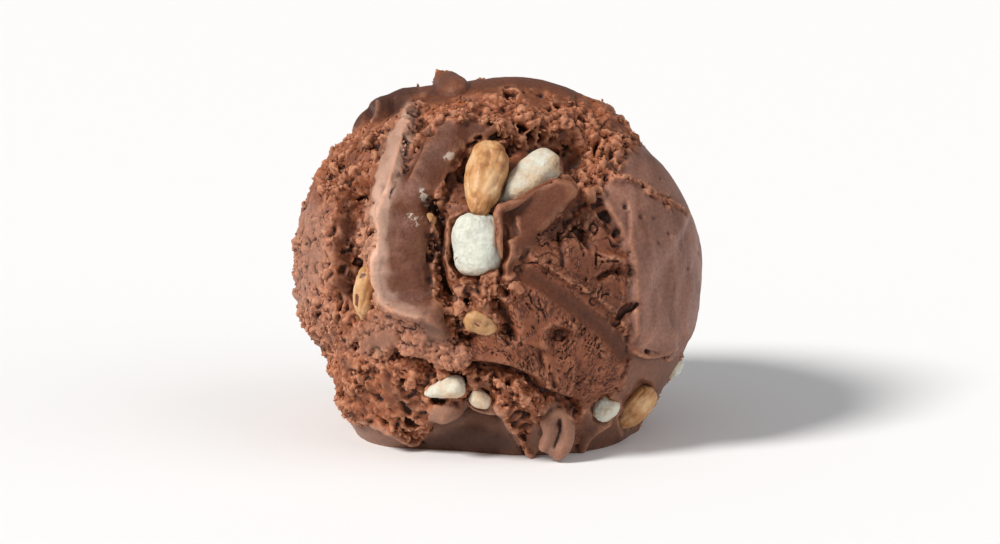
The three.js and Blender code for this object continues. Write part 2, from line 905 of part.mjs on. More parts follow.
function heldSolid(index) {
  const cut = (solid, pocket) => solid.subtract(pocket);
  return wholeOf(pockets.slice(0, index).reduce(cut, solidOf(held[index].geometry)));
}

function iceCreamSolid() {
  const floor = solidOf(welded(new THREE.BoxGeometry(120, 120, 40).translate(0, 0, -20)));
  const added = [...ROLLS.map((roll) => rollGeometry(roll)), tongueGeometry(TONGUE)];
  const whole = added.reduce((ball, piece) => ball.add(solidOf(piece)), solidOf(ballGeometry()));
  return wholeOf([floor, ...pockets].reduce((solid, cutter) => solid.subtract(cutter), whole));
}

const scoop = new THREE.Group();
scoop.add(named("ice_cream", geometryOf(iceCreamSolid()), chocolate));
held.forEach(({ name, material }, index) => scoop.add(named(name, geometryOf(heldSolid(index)), material)));

export default scoop;
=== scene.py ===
import math

import bmesh
import bpy
import numpy as np
from mathutils import Matrix, Vector
from mathutils.bvhtree import BVHTree


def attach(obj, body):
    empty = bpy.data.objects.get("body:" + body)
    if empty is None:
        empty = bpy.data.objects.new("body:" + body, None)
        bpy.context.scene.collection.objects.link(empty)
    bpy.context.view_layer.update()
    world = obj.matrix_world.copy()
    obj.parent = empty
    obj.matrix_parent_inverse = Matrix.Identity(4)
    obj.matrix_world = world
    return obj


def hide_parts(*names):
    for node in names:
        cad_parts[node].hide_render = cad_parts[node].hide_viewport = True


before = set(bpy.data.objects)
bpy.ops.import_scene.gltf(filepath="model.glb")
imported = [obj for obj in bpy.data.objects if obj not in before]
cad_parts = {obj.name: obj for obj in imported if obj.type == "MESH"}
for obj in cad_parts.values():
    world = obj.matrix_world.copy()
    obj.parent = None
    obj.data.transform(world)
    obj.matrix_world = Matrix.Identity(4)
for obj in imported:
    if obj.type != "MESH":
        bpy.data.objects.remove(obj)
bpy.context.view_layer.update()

mm = 0.001  # everything is modelled in millimetres and brought to metres at the end
scene = bpy.context.scene

# The pressed ball. Places on its front are [across, up] in mm, square to the sight line.
ball = {
    "radii": np.array([33.4, 32.9, 31.9]),
    "centre": np.array([0, 0, 25.2]),
    "topLean": 1.9,
    "footSpread": 3.4,
    "sagHeight": 9,
    "sightTilt": math.radians(12),
}
sightRight = np.array([1.0, 0, 0])
sightUp = np.array([0, math.sin(ball["sightTilt"]), math.cos(ball["sightTilt"])])
sightAway = np.array([0, math.cos(ball["sightTilt"]), -math.sin(ball["sightTilt"])])


def smoothStep(x, low, high):
    t = np.clip((np.asarray(x) - low) / (high - low), 0, 1)
    return t * t * (3 - 2 * t)


def unit(vectors):
    return vectors / np.maximum(np.linalg.norm(vectors, axis=-1, keepdims=True), 1e-9)


def normalsOfBall(points):
    return unit((points - ball["centre"]) / ball["radii"] ** 2)


def settled(points):  # leans the top to the left and spreads the foot, as the pressed ball did
    points = np.array(points, dtype=float)
    x, y, z = points[..., 0], points[..., 1], points[..., 2]
    low = np.clip(1 - z / ball["sagHeight"], 0, 1.4)
    reach = np.maximum(np.hypot(x, y), 1e-6)
    spread = 1 + ball["footSpread"] * low * low / reach
    points[..., 0] = (x - ball["topLean"] * smoothStep(z, 26, 50)) * spread
    points[..., 1] = y * spread
    return points


def metBy(across, up):  # where the sight line through a place on the picture meets the ball
    start = (sightRight * across + sightUp * up - ball["centre"]) / ball["radii"]
    way = sightAway / ball["radii"]
    a, b, c = way @ way, start @ way, start @ start - 1
    share = (-b - math.sqrt(max(b * b - a * c, 0))) / a
    return sightRight * across + sightUp * up + sightAway * share


def onBall(place):  # [across, up] on the front, or (bearing, height) elsewhere
    if isinstance(place, tuple):
        angle = math.radians(place[0])
        share = math.sqrt(max(1 - ((place[1] - ball["centre"][2]) / ball["radii"][2]) ** 2, 0))
        return np.array([math.sin(angle) * share * ball["radii"][0],
                         -math.cos(angle) * share * ball["radii"][1], place[1]])
    across, up = place
    for _ in range(4):
        point = metBy(across, up)
        seen = settled(point)
        across += place[0] - seen @ sightRight
        up += place[1] - seen @ sightUp
    return point


def spotAt(place, rise):  # an [across, up] on the settled ball, moved towards the viewer by rise
    return settled(onBall(place)) - sightAway * rise


def smoothLine(path, step=0.6):  # a Catmull-Rom line through the path, in even steps
    path = np.array(path, dtype=float)
    ends = np.vstack([2 * path[0] - path[1], path, 2 * path[-1] - path[-2]])
    pieces = []
    for a, b, c, d in zip(ends, ends[1:], ends[2:], ends[3:]):
        count = max(int(np.linalg.norm(c - b) / step), 1)
        t = np.linspace(0, 1, count, endpoint=False)[:, None]
        pieces.append(0.5 * (2 * b + (c - a) * t + (2 * a - 5 * b + 4 * c - d) * t ** 2
                             + (3 * b - a - 3 * c + d) * t ** 3))
    return np.vstack(pieces + [path[-1:]])


# Noise, worked out for whole arrays of points at once
noiseTable = unit(np.random.default_rng(11).normal(size=(256, 3)))
jitterTable = np.random.default_rng(12).random((4096, 4))


def hashOf(cells, seed, size):
    mixed = cells[..., 0] * 73856093 ^ cells[..., 1] * 19349663 ^ cells[..., 2] * 83492791 ^ seed * 2654435
    mixed ^= mixed >> 13
    mixed *= 1274126177
    return (mixed ^ (mixed >> 16)) & (size - 1)


def waves(points, length, seed):  # gradient noise, about -1 to 1
    p = points / length + seed * 7.31
    cell = np.floor(p).astype(np.int64)
    f = p - cell
    u = f * f * f * (f * (f * 6 - 15) + 10)
    total = 0
    for corner in np.ndindex(2, 2, 2):
        offset = np.array(corner)
        slope = noiseTable[hashOf(cell + offset, seed, 256)]
        weight = np.prod(np.where(offset, u, 1 - u), axis=-1)
        total = total + weight * np.einsum("ij,ij->i", slope, f - offset)
    return total * 1.9


def lumps(points, length, seed):  # round lumps with creases between them, about -0.3 to 0.7
    return np.abs(waves(points, length, seed)) * 1.2 - 0.3


def layered(points, layers):
    return sum(much * kind(points, length, seed) for kind, much, length, seed in layers)


def grains(points, length, seed):  # distances to the nearest scattered seed and the next, and its luck
    p = points / length
    cell = np.floor(p).astype(np.int64)
    near = np.full(len(p), 9.0)
    second = near.copy()
    luck = np.zeros(len(p))
    for corner in np.ndindex(3, 3, 3):
        at = cell + np.array(corner) - 1
        random4 = jitterTable[hashOf(at, seed, 4096)]
        away = np.linalg.norm(at + random4[:, :3] - p, axis=1)
        closer = away < near
        second = np.where(closer, near, np.minimum(second, away))
        luck = np.where(closer, random4[:, 3], luck)
        near = np.where(closer, away, near)
    return near * length, second * length, luck


# Sums of noise, with each layer as (kind, how much, length in mm, seed)
noises = {
    "ball": [(waves, 1.0, 25, 9), (waves, 0.25, 9, 4)],
    "torn": [(lumps, 1.2, 6.5, 1), (lumps, 1.3, 3.1, 2), (waves, 0.4, 1.8, 3)],
    "crag": [(waves, 1, 8, 31), (waves, 0.4, 3, 32)],
    "wipedPatches": [(waves, 1, 4.5, 71), (waves, 0.4, 1.8, 72)],
    "clumps": [(waves, 1, 3.4, 13), (waves, 0.5, 1.6, 14)],
    "gathered": [(waves, 1, 2.6, 61), (waves, 0.5, 1.2, 62)],
    "crumb": [(waves, 0.55, 2.6, 16), (lumps, 0.55, 1.7, 22), (lumps, 0.4, 0.95, 24)],
    "wipedSkin": [(waves, 0.05, 1.4, 8), (waves, 0.08, 3.5, 10)],
    "mottled": [(waves, 1, 2.4, 55), (waves, 0.6, 0.9, 56)],
    "marshmallow": [(waves, 0.3, 3.2, 3), (waves, 0.08, 1.1, 4), (waves, 0.04, 0.5, 5)],
}

# Relief of the ball. half is half a stroke's width, lift how far it stands out.
relief = {
    "strokes": {
        "crest": dict(half=0.7, lift=1.0, path=[
            [-13, 18], [-16.2, 18.9], [-18.6, 20.2], [-19.8, 22.6], [-20, 26], [-19.2, 30.4], [-19, 34.5],
            [-18.2, 36.8], [-17, 39.8], [-16, 43.4], [-14.9, 47.2], [-14.6, 52]]),
        "valley": dict(half=1.5, lift=-4, path=[
            [-23.4, 38.5], [-24.2, 34], [-24.7, 29], [-24.9, 24], [-24.2, 21]]),
        "lumpsByValley": dict(half=1.4, lift=1.3, path=[
            [-26.6, 37], [-27.4, 33], [-27.4, 28], [-26.8, 23.5]]),
        "groove": dict(half=1.2, lift=-0.7, path=[[-12.8, 49.2], [-14.1, 45.4], [-15.2, 41.6]]),
        "rim": dict(half=1.3, lift=0.9, path=[
            [-10, 49.6], [-6, 49.6], [-1, 49], [4, 49.6], [9, 49.6], [13, 48]]),
        "cleft": dict(half=1.1, lift=-4.2, path=[
            [-10.9, 36.2], [-10.1, 33], [-10.5, 30], [-10.4, 26.5], [-9.9, 23.5], [-8.6, 21.2]]),
        "scrapedBand": dict(half=1.8, lift=-1.2, path=[
            [3.4, 25.4], [7, 23.4], [10.2, 21], [13.4, 18.6], [16, 16.6], [18.4, 14.6], [20.3, 11.8]]),
        "leftTear": dict(half=1.0, lift=-3.2, path=[[-17.4, 11.3], [-14, 10.2], [-11.7, 8.9]]),
        "gapUnderFan": dict(half=0.9, lift=-2.6, path=[
            [-4.4, 9.6], [-2, 9.4], [0.5, 9.1], [3.1, 8.2], [5.3, 7.2], [7.2, 5.3], [9.3, 4.4], [12, 3.4]]),
        "flakeInGap": dict(half=0.85, lift=1.3, path=[[-2.4, 8.2], [1.4, 7.3], [4.2, 5.3], [6, 2.9]]),
        "apronRim": dict(half=0.5, lift=0.9, path=[
            [-1, 4.2], [0.3, 3], [2.1, 0.3], [3.8, -2.2], [5.1, -4.4]]),
        "pitByKernel": dict(half=1.5, lift=-3.2, path=[[-7.6, 16.8], [-6.6, 15], [-5.4, 14]]),
        "gapByFan": dict(half=0.9, lift=-2.4, path=[[-1, 20.8], [0.4, 19], [1.4, 17], [1.9, 15]]),
        "crackByDome": dict(half=0.6, lift=-1.8, path=[[22.3, 19.7], [20.6, 19.1], [19.4, 16.8]]),
        "crackUnderFlake": dict(half=0.5, lift=-1.4, path=[[16.4, 24.2], [18.4, 25.4], [20, 25.2]]),
        "upperCrackLeft": dict(half=0.4, lift=-0.9, path=[[9.6, 30.8], [10.2, 29], [10.4, 26.6]]),
        "upperCrackRight": dict(half=0.6, lift=-1.3, path=[[12.4, 32.4], [13.4, 31], [14.6, 29.4]]),
        "dentRim": dict(half=0.7, lift=0.7, path=[[7, 13.6], [7.6, 16], [9.4, 17], [12, 16.4]]),
        "fanTearLong": dict(half=0.32, lift=-1.0, path=[[6.5, 12.2], [6.7, 11.2], [7.4, 9.8]]),
        "fanTearShort": dict(half=0.3, lift=-0.8, path=[[8.4, 8.6], [8.7, 7.6], [9.1, 6.8]]),
        "streakLeft": dict(half=0.5, lift=0.2, path=[
            [24.5, 31.5], [24.8, 26.5], [23.8, 22.3], [23.6, 19.8], [24.3, 14]]),
        "streakMiddle": dict(half=0.5, lift=0.25, path=[[28, 31], [28.6, 25], [28.2, 19], [28.8, 14]]),
        "streakRight": dict(half=0.5, lift=0.25, path=[[31.6, 24], [30.4, 18], [30.8, 14.8]]),
        "recess": dict(half=1.8, lift=-1.8, path=[[-27, 47.5], [-23, 50.8], [-18, 53]]),
        "recessStreakLeft": dict(half=0.5, lift=-0.8, path=[[-22, 52.8], [-22.8, 51], [-23.4, 49.4]]),
        "recessRidge": dict(half=0.4, lift=0.7, path=[[-20.2, 53.6], [-20.8, 52], [-21.4, 50.4]]),
        "recessStreakRight": dict(half=0.5, lift=-0.8, path=[[-18.4, 54.2], [-18.8, 52.6], [-19.4, 51]]),
        "foldByCurl": dict(half=0.5, lift=1.2, path=[[17.6, 1], [15.9, 0], [14.3, -1.6], [12.9, -4.5]]),
        "gapBetweenMounds": dict(half=0.9, lift=-2.0, path=[[-6, 3.1], [-5, 1.7], [-3, 0.9], [-0.8, 0.6]]),
        "footRidge": dict(half=0.45, lift=0.6, path=[[19.8, 3.2], [19.7, 0.6], [19.8, -1.4]]),
    },
    # The left of the way a path runs stands out by lift, and evens out over run.
    "edges": {
        "crestAbove": dict(lift=1.4, wall=0.8, run=5, path=[
            [-17.6, 38.4], [-16.4, 42], [-15.1, 47], [-14.6, 52]]),
        "flapLeft": dict(lift=1.9, wall=1.4, run=6, path=[
            [-19, 38.5], [-19.8, 34.5], [-19.9, 30.5], [-20.8, 26.3], [-20.6, 22.6], [-18.8, 19.4],
            [-15, 17.8], [-11, 17.2], [-8, 15.4]]),
        "flapTopLeft": dict(lift=1.0, wall=0.7, run=6, path=[
            [-5, 49.8], [-9.8, 49.6], [-11.5, 47], [-13, 44], [-14.6, 41], [-15.4, 39.4]]),
        "flapRight": dict(lift=-2.2, wall=1.4, run=5, path=[
            [-9.6, 20], [-11.3, 23], [-11.5, 28], [-11.4, 33], [-10.4, 38], [-7, 43.4]]),
        "hollow": dict(lift=-3.9, wall=1.6, run=9, path=[
            [14.6, 39.5], [15, 43], [12.8, 46.4], [9, 47.4], [4, 47.9], [-1, 47.2], [-6.4, 43.8],
            [-10.1, 37.6], [-10.7, 31], [-10.6, 26], [-9.2, 21.2], [-5, 20]]),
        "domeTop": dict(lift=1.2, wall=0.5, run=14, path=[
            [31.5, 34], [28, 36], [25.6, 36.9], [23.8, 38.3], [22, 39.5], [19.8, 40.4], [17.6, 39.6],
            [15.8, 37.8]]),
        "domeLeft": dict(lift=1.1, wall=0.5, run=14, path=[
            [15.4, 38], [17.4, 35], [19.4, 31], [20.8, 27], [21.1, 22], [21.1, 17], [21.1, 12.6]]),
        "domeFoot": dict(lift=1.0, wall=0.6, run=8, path=[
            [20.9, 12.4], [23.3, 11.3], [26.3, 11.6], [29.4, 12.8]]),
        "bandLip": dict(lift=1.4, wall=0.4, run=2.5, path=[
            [4.6, 27.2], [7.6, 25.6], [9.8, 24.2], [11.8, 22.9], [14.3, 21.5], [16.8, 19.6], [18.8, 17.5],
            [20.6, 13.4]]),
        "fanFoot": dict(lift=1.3, wall=0.7, run=6, path=[
            [-17, 12], [-11, 10], [-4, 10.4], [0, 10], [3.4, 9.2], [6.4, 6.2], [9, 5.2], [12.4, 4.6]]),
        "fanRib": dict(lift=0.7, wall=0.5, run=3, path=[[11.3, 3.4], [11.9, 7.5], [12.3, 12]]),
        "apron": dict(lift=2.8, wall=0.7, run=3.5, path=[
            [-1.4, 4], [0, 3], [1.8, 0.3], [3.5, -2.2], [4.8, -4.6]]),
        "crumbsOverShelf": dict(lift=1.6, wall=0.8, run=6, path=[
            [-26.4, 1.9], [-21.5, 0.9], [-18.3, -0.2], [-15.8, -1.6], [-12.6, -3.4]]),
    },
    # Round the back, by (bearing, height)
    "backStrokes": {
        "fold": dict(half=3.4, lift=1.9, path=[(118, 14), (140, 27), (168, 36), (200, 40), (228, 34)]),
        "valleyUnderFold": dict(half=3.2, lift=-2.2, path=[(128, 12), (150, 22), (174, 29), (202, 32)]),
        "tear": dict(half=1.8, lift=-2.4, path=[(160, 9), (180, 12), (205, 9)]),
    },
    # Dents and mounds, as ovals of half sizes [wide, high]
    "mounds": {
        "hollowTop": dict(at=[-3, 40], half=[5.5, 7], turn=8, lift=-1.2),
        "aroundMiddle": dict(at=[-3.6, 29], half=[6.4, 6.6], turn=0, lift=2.6),
        "aroundBehind": dict(at=[5.4, 41.4], half=[6, 4.4], turn=42, lift=1.8),
        "hollowRight": dict(at=[6.5, 42.5], half=[8, 4.4], turn=34, lift=-2.8),
        "underTongue": dict(at=[10.8, 32.8], half=[2.0, 4.2], turn=-38, lift=-2.2),
        "holeByFan": dict(at=[13.8, 31.6], half=[1.3, 1.5], turn=0, lift=-1.4),
        "hollowCorner": dict(at=[14, 44.8], half=[2, 1.6], turn=20, lift=-1.8),
        "fanDish": dict(at=[8, 14], half=[11, 9], turn=-20, lift=-0.7),
        "upperFanDish": dict(at=[13.6, 27], half=[6, 5], turn=-20, lift=-0.8),
        "ovalDent": dict(at=[9.9, 15], half=[2.1, 1.1], turn=5, lift=-1.7),
        "flake": dict(at=[18.6, 27], half=[2, 1.2], turn=-16, lift=1.9),
        "flapFoot": dict(at=[-15.5, 18.8], half=[3.4, 1.8], turn=-8, lift=1.1),
        "flapEnd": dict(at=[-9.7, 17.3], half=[2.2, 3], turn=10, lift=1.1),
        "underside": dict(at=[-4.6, -2.4], half=[9, 3.2], turn=0, lift=-5.2),
        "leftMound": dict(at=[-8.6, 2.5], half=[2.4, 1.9], turn=-10, lift=2.6),
        "rightMound": dict(at=[-1.6, 2.4], half=[2.8, 1.6], turn=-14, lift=2.0),
        "lowerLeft": dict(at=[-21, 8], half=[7, 6], turn=0, lift=0.8),
        "notch": dict(at=[-30.8, 11], half=[3.4, 3.6], turn=0, lift=-3.0),
        "leftBump": dict(at=[-34, 21.5], half=[1.2, 1], turn=0, lift=1.0),
        "upperLeftBump": dict(at=[-34, 29.8], half=[1.2, 0.8], turn=0, lift=0.8),
        "hole": dict(at=[-23.7, 12.9], half=[0.9, 0.8], turn=0, lift=-2.6),
        "topRightBump": dict(at=[17.8, 51.8], half=[1.9, 1.6], turn=-40, lift=0.9),
        "leftShoulder": dict(at=[-20, 51], half=[9, 5], turn=42, lift=3.1),
        "leftFoot": dict(at=[-29.6, 5], half=[3, 5], turn=0, lift=-1.3),
        "footCorner": dict(at=[-17, -1], half=[7, 4], turn=0, lift=1.6),
        "crown": dict(at=[6, 56], half=[12, 4], turn=0, lift=1.5),
        "rightShoulder": dict(at=[17, 51], half=[7, 5], turn=-40, lift=1.3),
        "domeNick": dict(at=[30.4, 30.8], half=[0.8, 1.6], turn=0, lift=-0.5),
    },
}

# Rolls that stand clear of the ball: [across, up, rise] with a radius at each point.
rolls = {
    "tongueKnob": dict(flat=1, path=[[10.8, 38.6, 0.2], [12.2, 38, 0.2]], radii=[1.4, 1.3]),
    "domeLump": dict(flat=1, path=[[14, 37.2, -0.6], [16.4, 38, -0.6]], radii=[1.2, 1.3]),
    "knob": dict(flat=1, path=[
        [-2.4, 20.8, -1.6], [-1.8, 22.8, -1], [-0.8, 25.2, -1.6]], radii=[1.1, 1.6, 1.3]),
    "smallKnob": dict(flat=1, path=[[2.5, 23.2, -0.3], [3.3, 21.9, -0.3]], radii=[0.95, 1]),
    "curl": dict(flat=1, points=[
        [7.2, -27, 2.4], [8.1, -27.2, 4.7], [8.1, -26.9, 6.7], [9.4, -26.6, 7.7], [10.7, -26.6, 6.7],
        [10.9, -26.9, 4.5], [10, -27, 2.2],
        [9, -27, 1.2]], radii=[1.9, 1.25, 1.35, 1.3, 1.4, 1.45, 1.8, 1.7]),
    "curlBack": dict(flat=1, points=[[9.4, -26.2, 6], [8.9, -26.2, 1.8]], radii=[1.8, 2.2]),
    "horn": dict(flat=0.8, path=[[-7.2, 54.2, 0], [-9, 56.6, 0], [-10.2, 58.6, 0]], radii=[3.3, 2.2, 0.4]),
    "hornShoulder": dict(flat=0.8, path=[[-12.2, 53.2, 0], [-12.6, 55.2, 0]], radii=[2, 0.5]),
    "tongueRim": dict(flat=1, path=[
        [0.5, 27, 0.1], [0, 31, 0.2], [-0.1, 34.8, 0.2], [2.2, 36, 0.3], [5.4, 38, 0.3], [8.9, 39.7, 0.2],
        [11.6, 38.9, 0]], radii=[0.4, 0.7, 0.85, 0.8, 0.8, 0.8, 0.9]),
}

# Thin creases on the finished surface, as paths on the picture
creases = {
    "inCurl": dict(half=0.25, lift=-0.5, path=[[9.8, 1.2], [9.8, -0.5], [9.4, -1.8], [8.9, -3.2]]),
    "byDome": dict(half=0.25, lift=-0.8, path=[[19, 17.4], [20.2, 18.9], [21.2, 19.2], [22.2, 19.9]]),
}

# Where a held piece shows: the surface gives way behind these ovals on the picture.
windows = {
    "marshmallow_middle": dict(at=[-3.5, 29.6], half=[4.2, 5.4], turn=4, power=3, depth=3.8),
    "marshmallow_behind": dict(at=[5, 40.2], half=[6, 3.2], turn=42, depth=2.4),
    "marshmallow_torn": dict(at=[-7.7, 6.7], half=[2.2, 1.7], turn=0, depth=1.6),
    "marshmallow_by_torn": dict(at=[-3, 4.6], half=[1.5, 1.4], turn=0, depth=1.4),
    "marshmallow_right": dict(at=[17.2, 3.1], half=[2, 1.8], turn=30, depth=1.2),
    "peanut_right": dict(at=[22.4, 3.2], half=[4, 2.2], turn=60, depth=1.4),
    "peanut_low": dict(at=[-3, 17.1], half=[2.4, 1.2], turn=-25, depth=1.2),
    "peanut_by_crest": dict(at=[-21.6, 22.2], half=[1.3, 4], turn=0, depth=0.6),
}

backWindows = {  # the same round the back, by (bearing, height)
    "marshmallow_back": dict(at=(160, 40.5), half=[4.6, 4.6], turn=0, depth=1.6),
    "peanut_back_left": dict(at=(212, 37.8), half=[4, 3.4], turn=0, depth=1.2),
}

# The tongue over the marshmallow is a slab of this outline, turned to face left and up.
tongue = {
    "outline": [
        [-0.4, 24.8], [-0.1, 30], [-0.6, 35.2], [2, 36.4], [5.4, 38.5], [8.9, 40.3], [11.6, 39.8],
        [12.8, 38], [9.3, 34], [7, 31.6], [4.2, 29.2], [2.4, 25.2]],
    "middle": [5, 33.6],
    "rise": -0.6,
    "thick": 3.4,
    "faceLeft": 4,  # degrees
    "faceUp": 6,
    "round": 0.9,
}

# Where the surface is wiped smooth, by outlines on the picture. ragged is how far their borders wander.
wiped = {
    "dome": [
        [15.6, 37.6], [17.6, 39.5], [19.8, 40.2], [22, 39.4], [25.6, 36.8], [31.5, 34], [37, 31], [37, 16],
        [33, 11], [26.3, 11.6], [21, 12.6], [21, 22], [20.8, 27], [19.3, 31], [17.3, 35]],
    "upperRight": [
        [17, 54], [19, 51.3], [22.6, 49.3], [23.3, 46.3], [20.5, 44], [19.5, 41], [22, 40.3], [26, 38],
        [33, 34.5], [37, 36], [32, 46], [27, 52], [22, 57]],
    "rightLow": [
        [20, 6], [21, 12], [26, 11.5], [33, 11], [33, 3], [24, -4], [13, -7], [13, 0], [14, 3.4],
        [17, 4.5]],
    "fan": [
        [-0.5, 19], [1.5, 22.5], [4, 26], [6, 30.5], [9, 33], [12, 33.5], [15, 34.5], [17.5, 33],
        [19.5, 29], [20.8, 25], [21, 17], [20.8, 12.5], [20, 6], [17, 4.5], [13.5, 3.5], [9.5, 4.8],
        [6.5, 6], [4, 8.3], [0, 9.5], [-4, 10], [-5, 12.5], [-3, 15.5], [1, 15.5]],
    "flap": [
        [-18.6, 20.6], [-19.8, 24], [-19.4, 30], [-19, 35], [-18.2, 36.6], [-16.8, 39.4], [-14.4, 42],
        [-12.6, 45], [-11.2, 47.4], [-10, 49.4], [-5, 49.6], [-0.6, 48.9], [-0.8, 47.2], [-5, 46.4],
        [-6.6, 43.4], [-9.6, 38.6], [-11.2, 36], [-11.6, 31], [-11.2, 24], [-9.6, 20.6], [-7.6, 15.5],
        [-9, 13.6], [-11.4, 14.2], [-12.4, 17.2], [-17.2, 19]],
    "crest": [
        [-14.6, 52], [-14.9, 47.2], [-16, 43.4], [-17, 39.7], [-17.4, 36.7], [-17.7, 34.5], [-18, 30],
        [-18.7, 26], [-18.4, 23], [-16.4, 20.6], [-13, 19.4], [-13, 18.2], [-17, 18.8], [-20, 21],
        [-20.8, 23], [-20.7, 26.4], [-20, 31], [-20.9, 35.5], [-20.4, 38], [-19.4, 42.2], [-18.4, 46.3],
        [-16.2, 50.9]],
    "upperLeft": [
        [-29, 45], [-25.7, 47.8], [-22.6, 49], [-18.6, 49.9], [-16, 50.8], [-13.8, 53], [-12, 58],
        [-20, 58], [-27, 54]],
    "top": [
        [-14, 53.5], [-12, 52.6], [-9, 52.6], [-4, 54.2], [1, 55], [8, 55], [13, 53.4], [14, 56], [8, 59],
        [-2, 61], [-12, 60]],
    "farLeft": [[-37, 19], [-37, 37], [-31, 41], [-28.8, 36.6], [-28.6, 30], [-29, 24], [-30.4, 19]],
    "hollow": [
        [-6, 43], [-3, 44.6], [3, 45], [8, 45.6], [12, 44.6], [13.4, 42], [12, 38], [3, 36], [0.5, 34],
        [0, 28], [-1, 24], [-4, 20.6], [-8.6, 21], [-9.6, 24], [-9.6, 33], [-9.6, 37.6]],
    "tongue": [
        [-0.4, 24], [-0.4, 34.4], [-0.4, 35.8], [3.3, 37.4], [6.6, 39.3], [9.8, 40.6], [13, 39.4],
        [12.8, 37], [9.8, 34], [7.4, 31.4], [4.4, 28.6], [2.6, 25]],
    "shelf": [
        [-27, 1.4], [-21.5, 0.4], [-18.3, -0.7], [-15.8, -2], [-12.6, -3.4], [-11, -0.4], [-11.4, 2.6],
        [-9, 4.4], [-6, 4], [-1.2, 3.6], [0.2, 2.2], [1.8, -0.2], [3.4, -2.6], [4.6, -5], [2, -8],
        [-14, -9], [-30, -6]],
    "curl": [[5, -7], [5, -1.6], [6.2, 1.5], [7.6, 3.4], [9.4, 4], [11.4, 3.2], [12.7, 0.6], [13, -7]],
}
ragged = {"reach": 0.7, "length": 2.6, "seeds": (41, 42)}  # mm
wipedShare = {"hollow": 0.75, "farLeft": 0.4}  # smooth only in part
wipedBack = [dict(at=(105, 36), half=[19, 12], turn=0), dict(at=(190, 20), half=[20, 8], turn=0)]

iceCreamLook = {
    "ballCuts": 8,
    "voxel": 0.25,  # mm
    "mostFaces": 196000,
    "crumbCuts": 7,  # how finely the ball is cut to place crumbs
    "crumbRadius": (0.25, 0.6),  # mm
    "crumbShare": 0.12,  # of the vertices that take a crumb, where they gather
    "crumbSeeds": (21, 31),
    "crumbScatter": 0.2,  # how far crumbs lie from their places
    "torn": 0.4,  # crumbs lie where the surface is less smooth than this
    "clear": 0.3,  # and this far from the floor and the held pieces
    "grainRadius": (0.13, 0.36),
    "grainTurns": 2,  # times that grains are strewn, because a vertex takes one each time
    "grainCount": 4500,
    "grainSeeds": (40, 50),
    "grainScatter": 0.1,
    "grainFloor": 0.8,  # mm over the floor that grains stay
    "farGrains": 0.25,  # share of the grains on the far side
    "fineGrains": 0.6,  # and how small they are in the finer oval
    "kinds": 5,  # forms that crumbs and grains have
    "farFrom": 4,  # how far past the middle the far side starts
    "farShare": 0.3,  # of the far side's faces that are kept before all of it is thinned
    "crumbDepth": 0.5,  # how far the ball is sunk where crumbs cover it
}
fineOval = {"at": (-15, 14), "half": (11, 4.6), "fall": 0.25}  # where the torn surface is finer


class Nodes:
    def __init__(self, tree):
        self.tree = tree

    def add(self, kind, **settings):
        node = self.tree.nodes.new(kind)
        for name, value in settings.items():
            setattr(node, name, value)
        return node

    def join(self, value, entry):  # joins an output to an entry, or sets the entry's plain value
        if isinstance(value, bpy.types.NodeSocket):
            self.tree.links.new(value, entry)
        else:
            entry.default_value = (*value, 1) if entry.type == "RGBA" else value

    def noise(self, place, scale, detail=4, roughness=0.5):
        node = self.add("ShaderNodeTexNoise")
        entries = ("Vector", "Scale", "Detail", "Roughness")
        for entry, value in zip(entries, (place, scale, detail, roughness)):
            self.join(value, node.inputs[entry])
        return node.outputs["Fac"]

    def ramp(self, value, *stops):
        node = self.add("ShaderNodeValToRGB")
        ramp = node.color_ramp
        while len(ramp.elements) < len(stops):
            ramp.elements.new(0.5)
        for element, (place, colour) in zip(ramp.elements, stops):
            element.position = place
            element.color = (*colour, 1)
        self.join(value, node.inputs["Fac"])
        return node.outputs["Color"]

    def span(self, value, low, high, toLow=0.0, toHigh=1.0):
        node = self.add("ShaderNodeMapRange")
        entries = ("Value", "From Min", "From Max", "To Min", "To Max")
        for entry, given in zip(entries, (value, low, high, toLow, toHigh)):
            self.join(given, node.inputs[entry])
        return node.outputs["Result"]

    def mix(self, share, a, b, way="MIX"):
        node = self.add("ShaderNodeMix", data_type="RGBA", blend_type=way)
        for entry, value in {"Factor": share, "A": a, "B": b}.items():
            self.join(value, node.inputs[entry])
        return next(o for o in node.outputs if o.type == "RGBA")

    def sum(self, a, b, way="ADD"):
        node = self.add("ShaderNodeMath", operation=way)
        for entry, value in zip(node.inputs, (a, b)):
            self.join(value, entry)
        return node.outputs["Value"]

    def value(self, name, output="Fac"):
        return self.add("ShaderNodeAttribute", attribute_name=name).outputs[output]

    def place(self):
        return self.add("ShaderNodeTexCoord").outputs["Object"]


def newMesh(name, bm):  # a mesh of what was built, which is freed
    mesh = bpy.data.meshes.new(name)
    bm.to_mesh(mesh)
    bm.free()
    return mesh


def objectOf(name, data):
    made = bpy.data.objects.new(name, data)
    scene.collection.objects.link(made)
    return made


def pointsOf(mesh):
    flat = np.empty(len(mesh.vertices) * 3, dtype=np.float32)
    mesh.vertices.foreach_get("co", flat)
    return flat.reshape(-1, 3).astype(float)


def movePoints(mesh, points):
    mesh.vertices.foreach_set("co", points.astype(np.float32).ravel())
    mesh.update()


def normalsOf(mesh):
    flat = np.empty(len(mesh.vertices) * 3, dtype=np.float32)
    mesh.vertex_normals.foreach_get("vector", flat)
    return flat.reshape(-1, 3).astype(float)


def edgesOf(mesh):
    flat = np.empty(len(mesh.edges) * 2, dtype=np.int32)
    mesh.edges.foreach_get("vertices", flat)
    return flat.reshape(-1, 2)


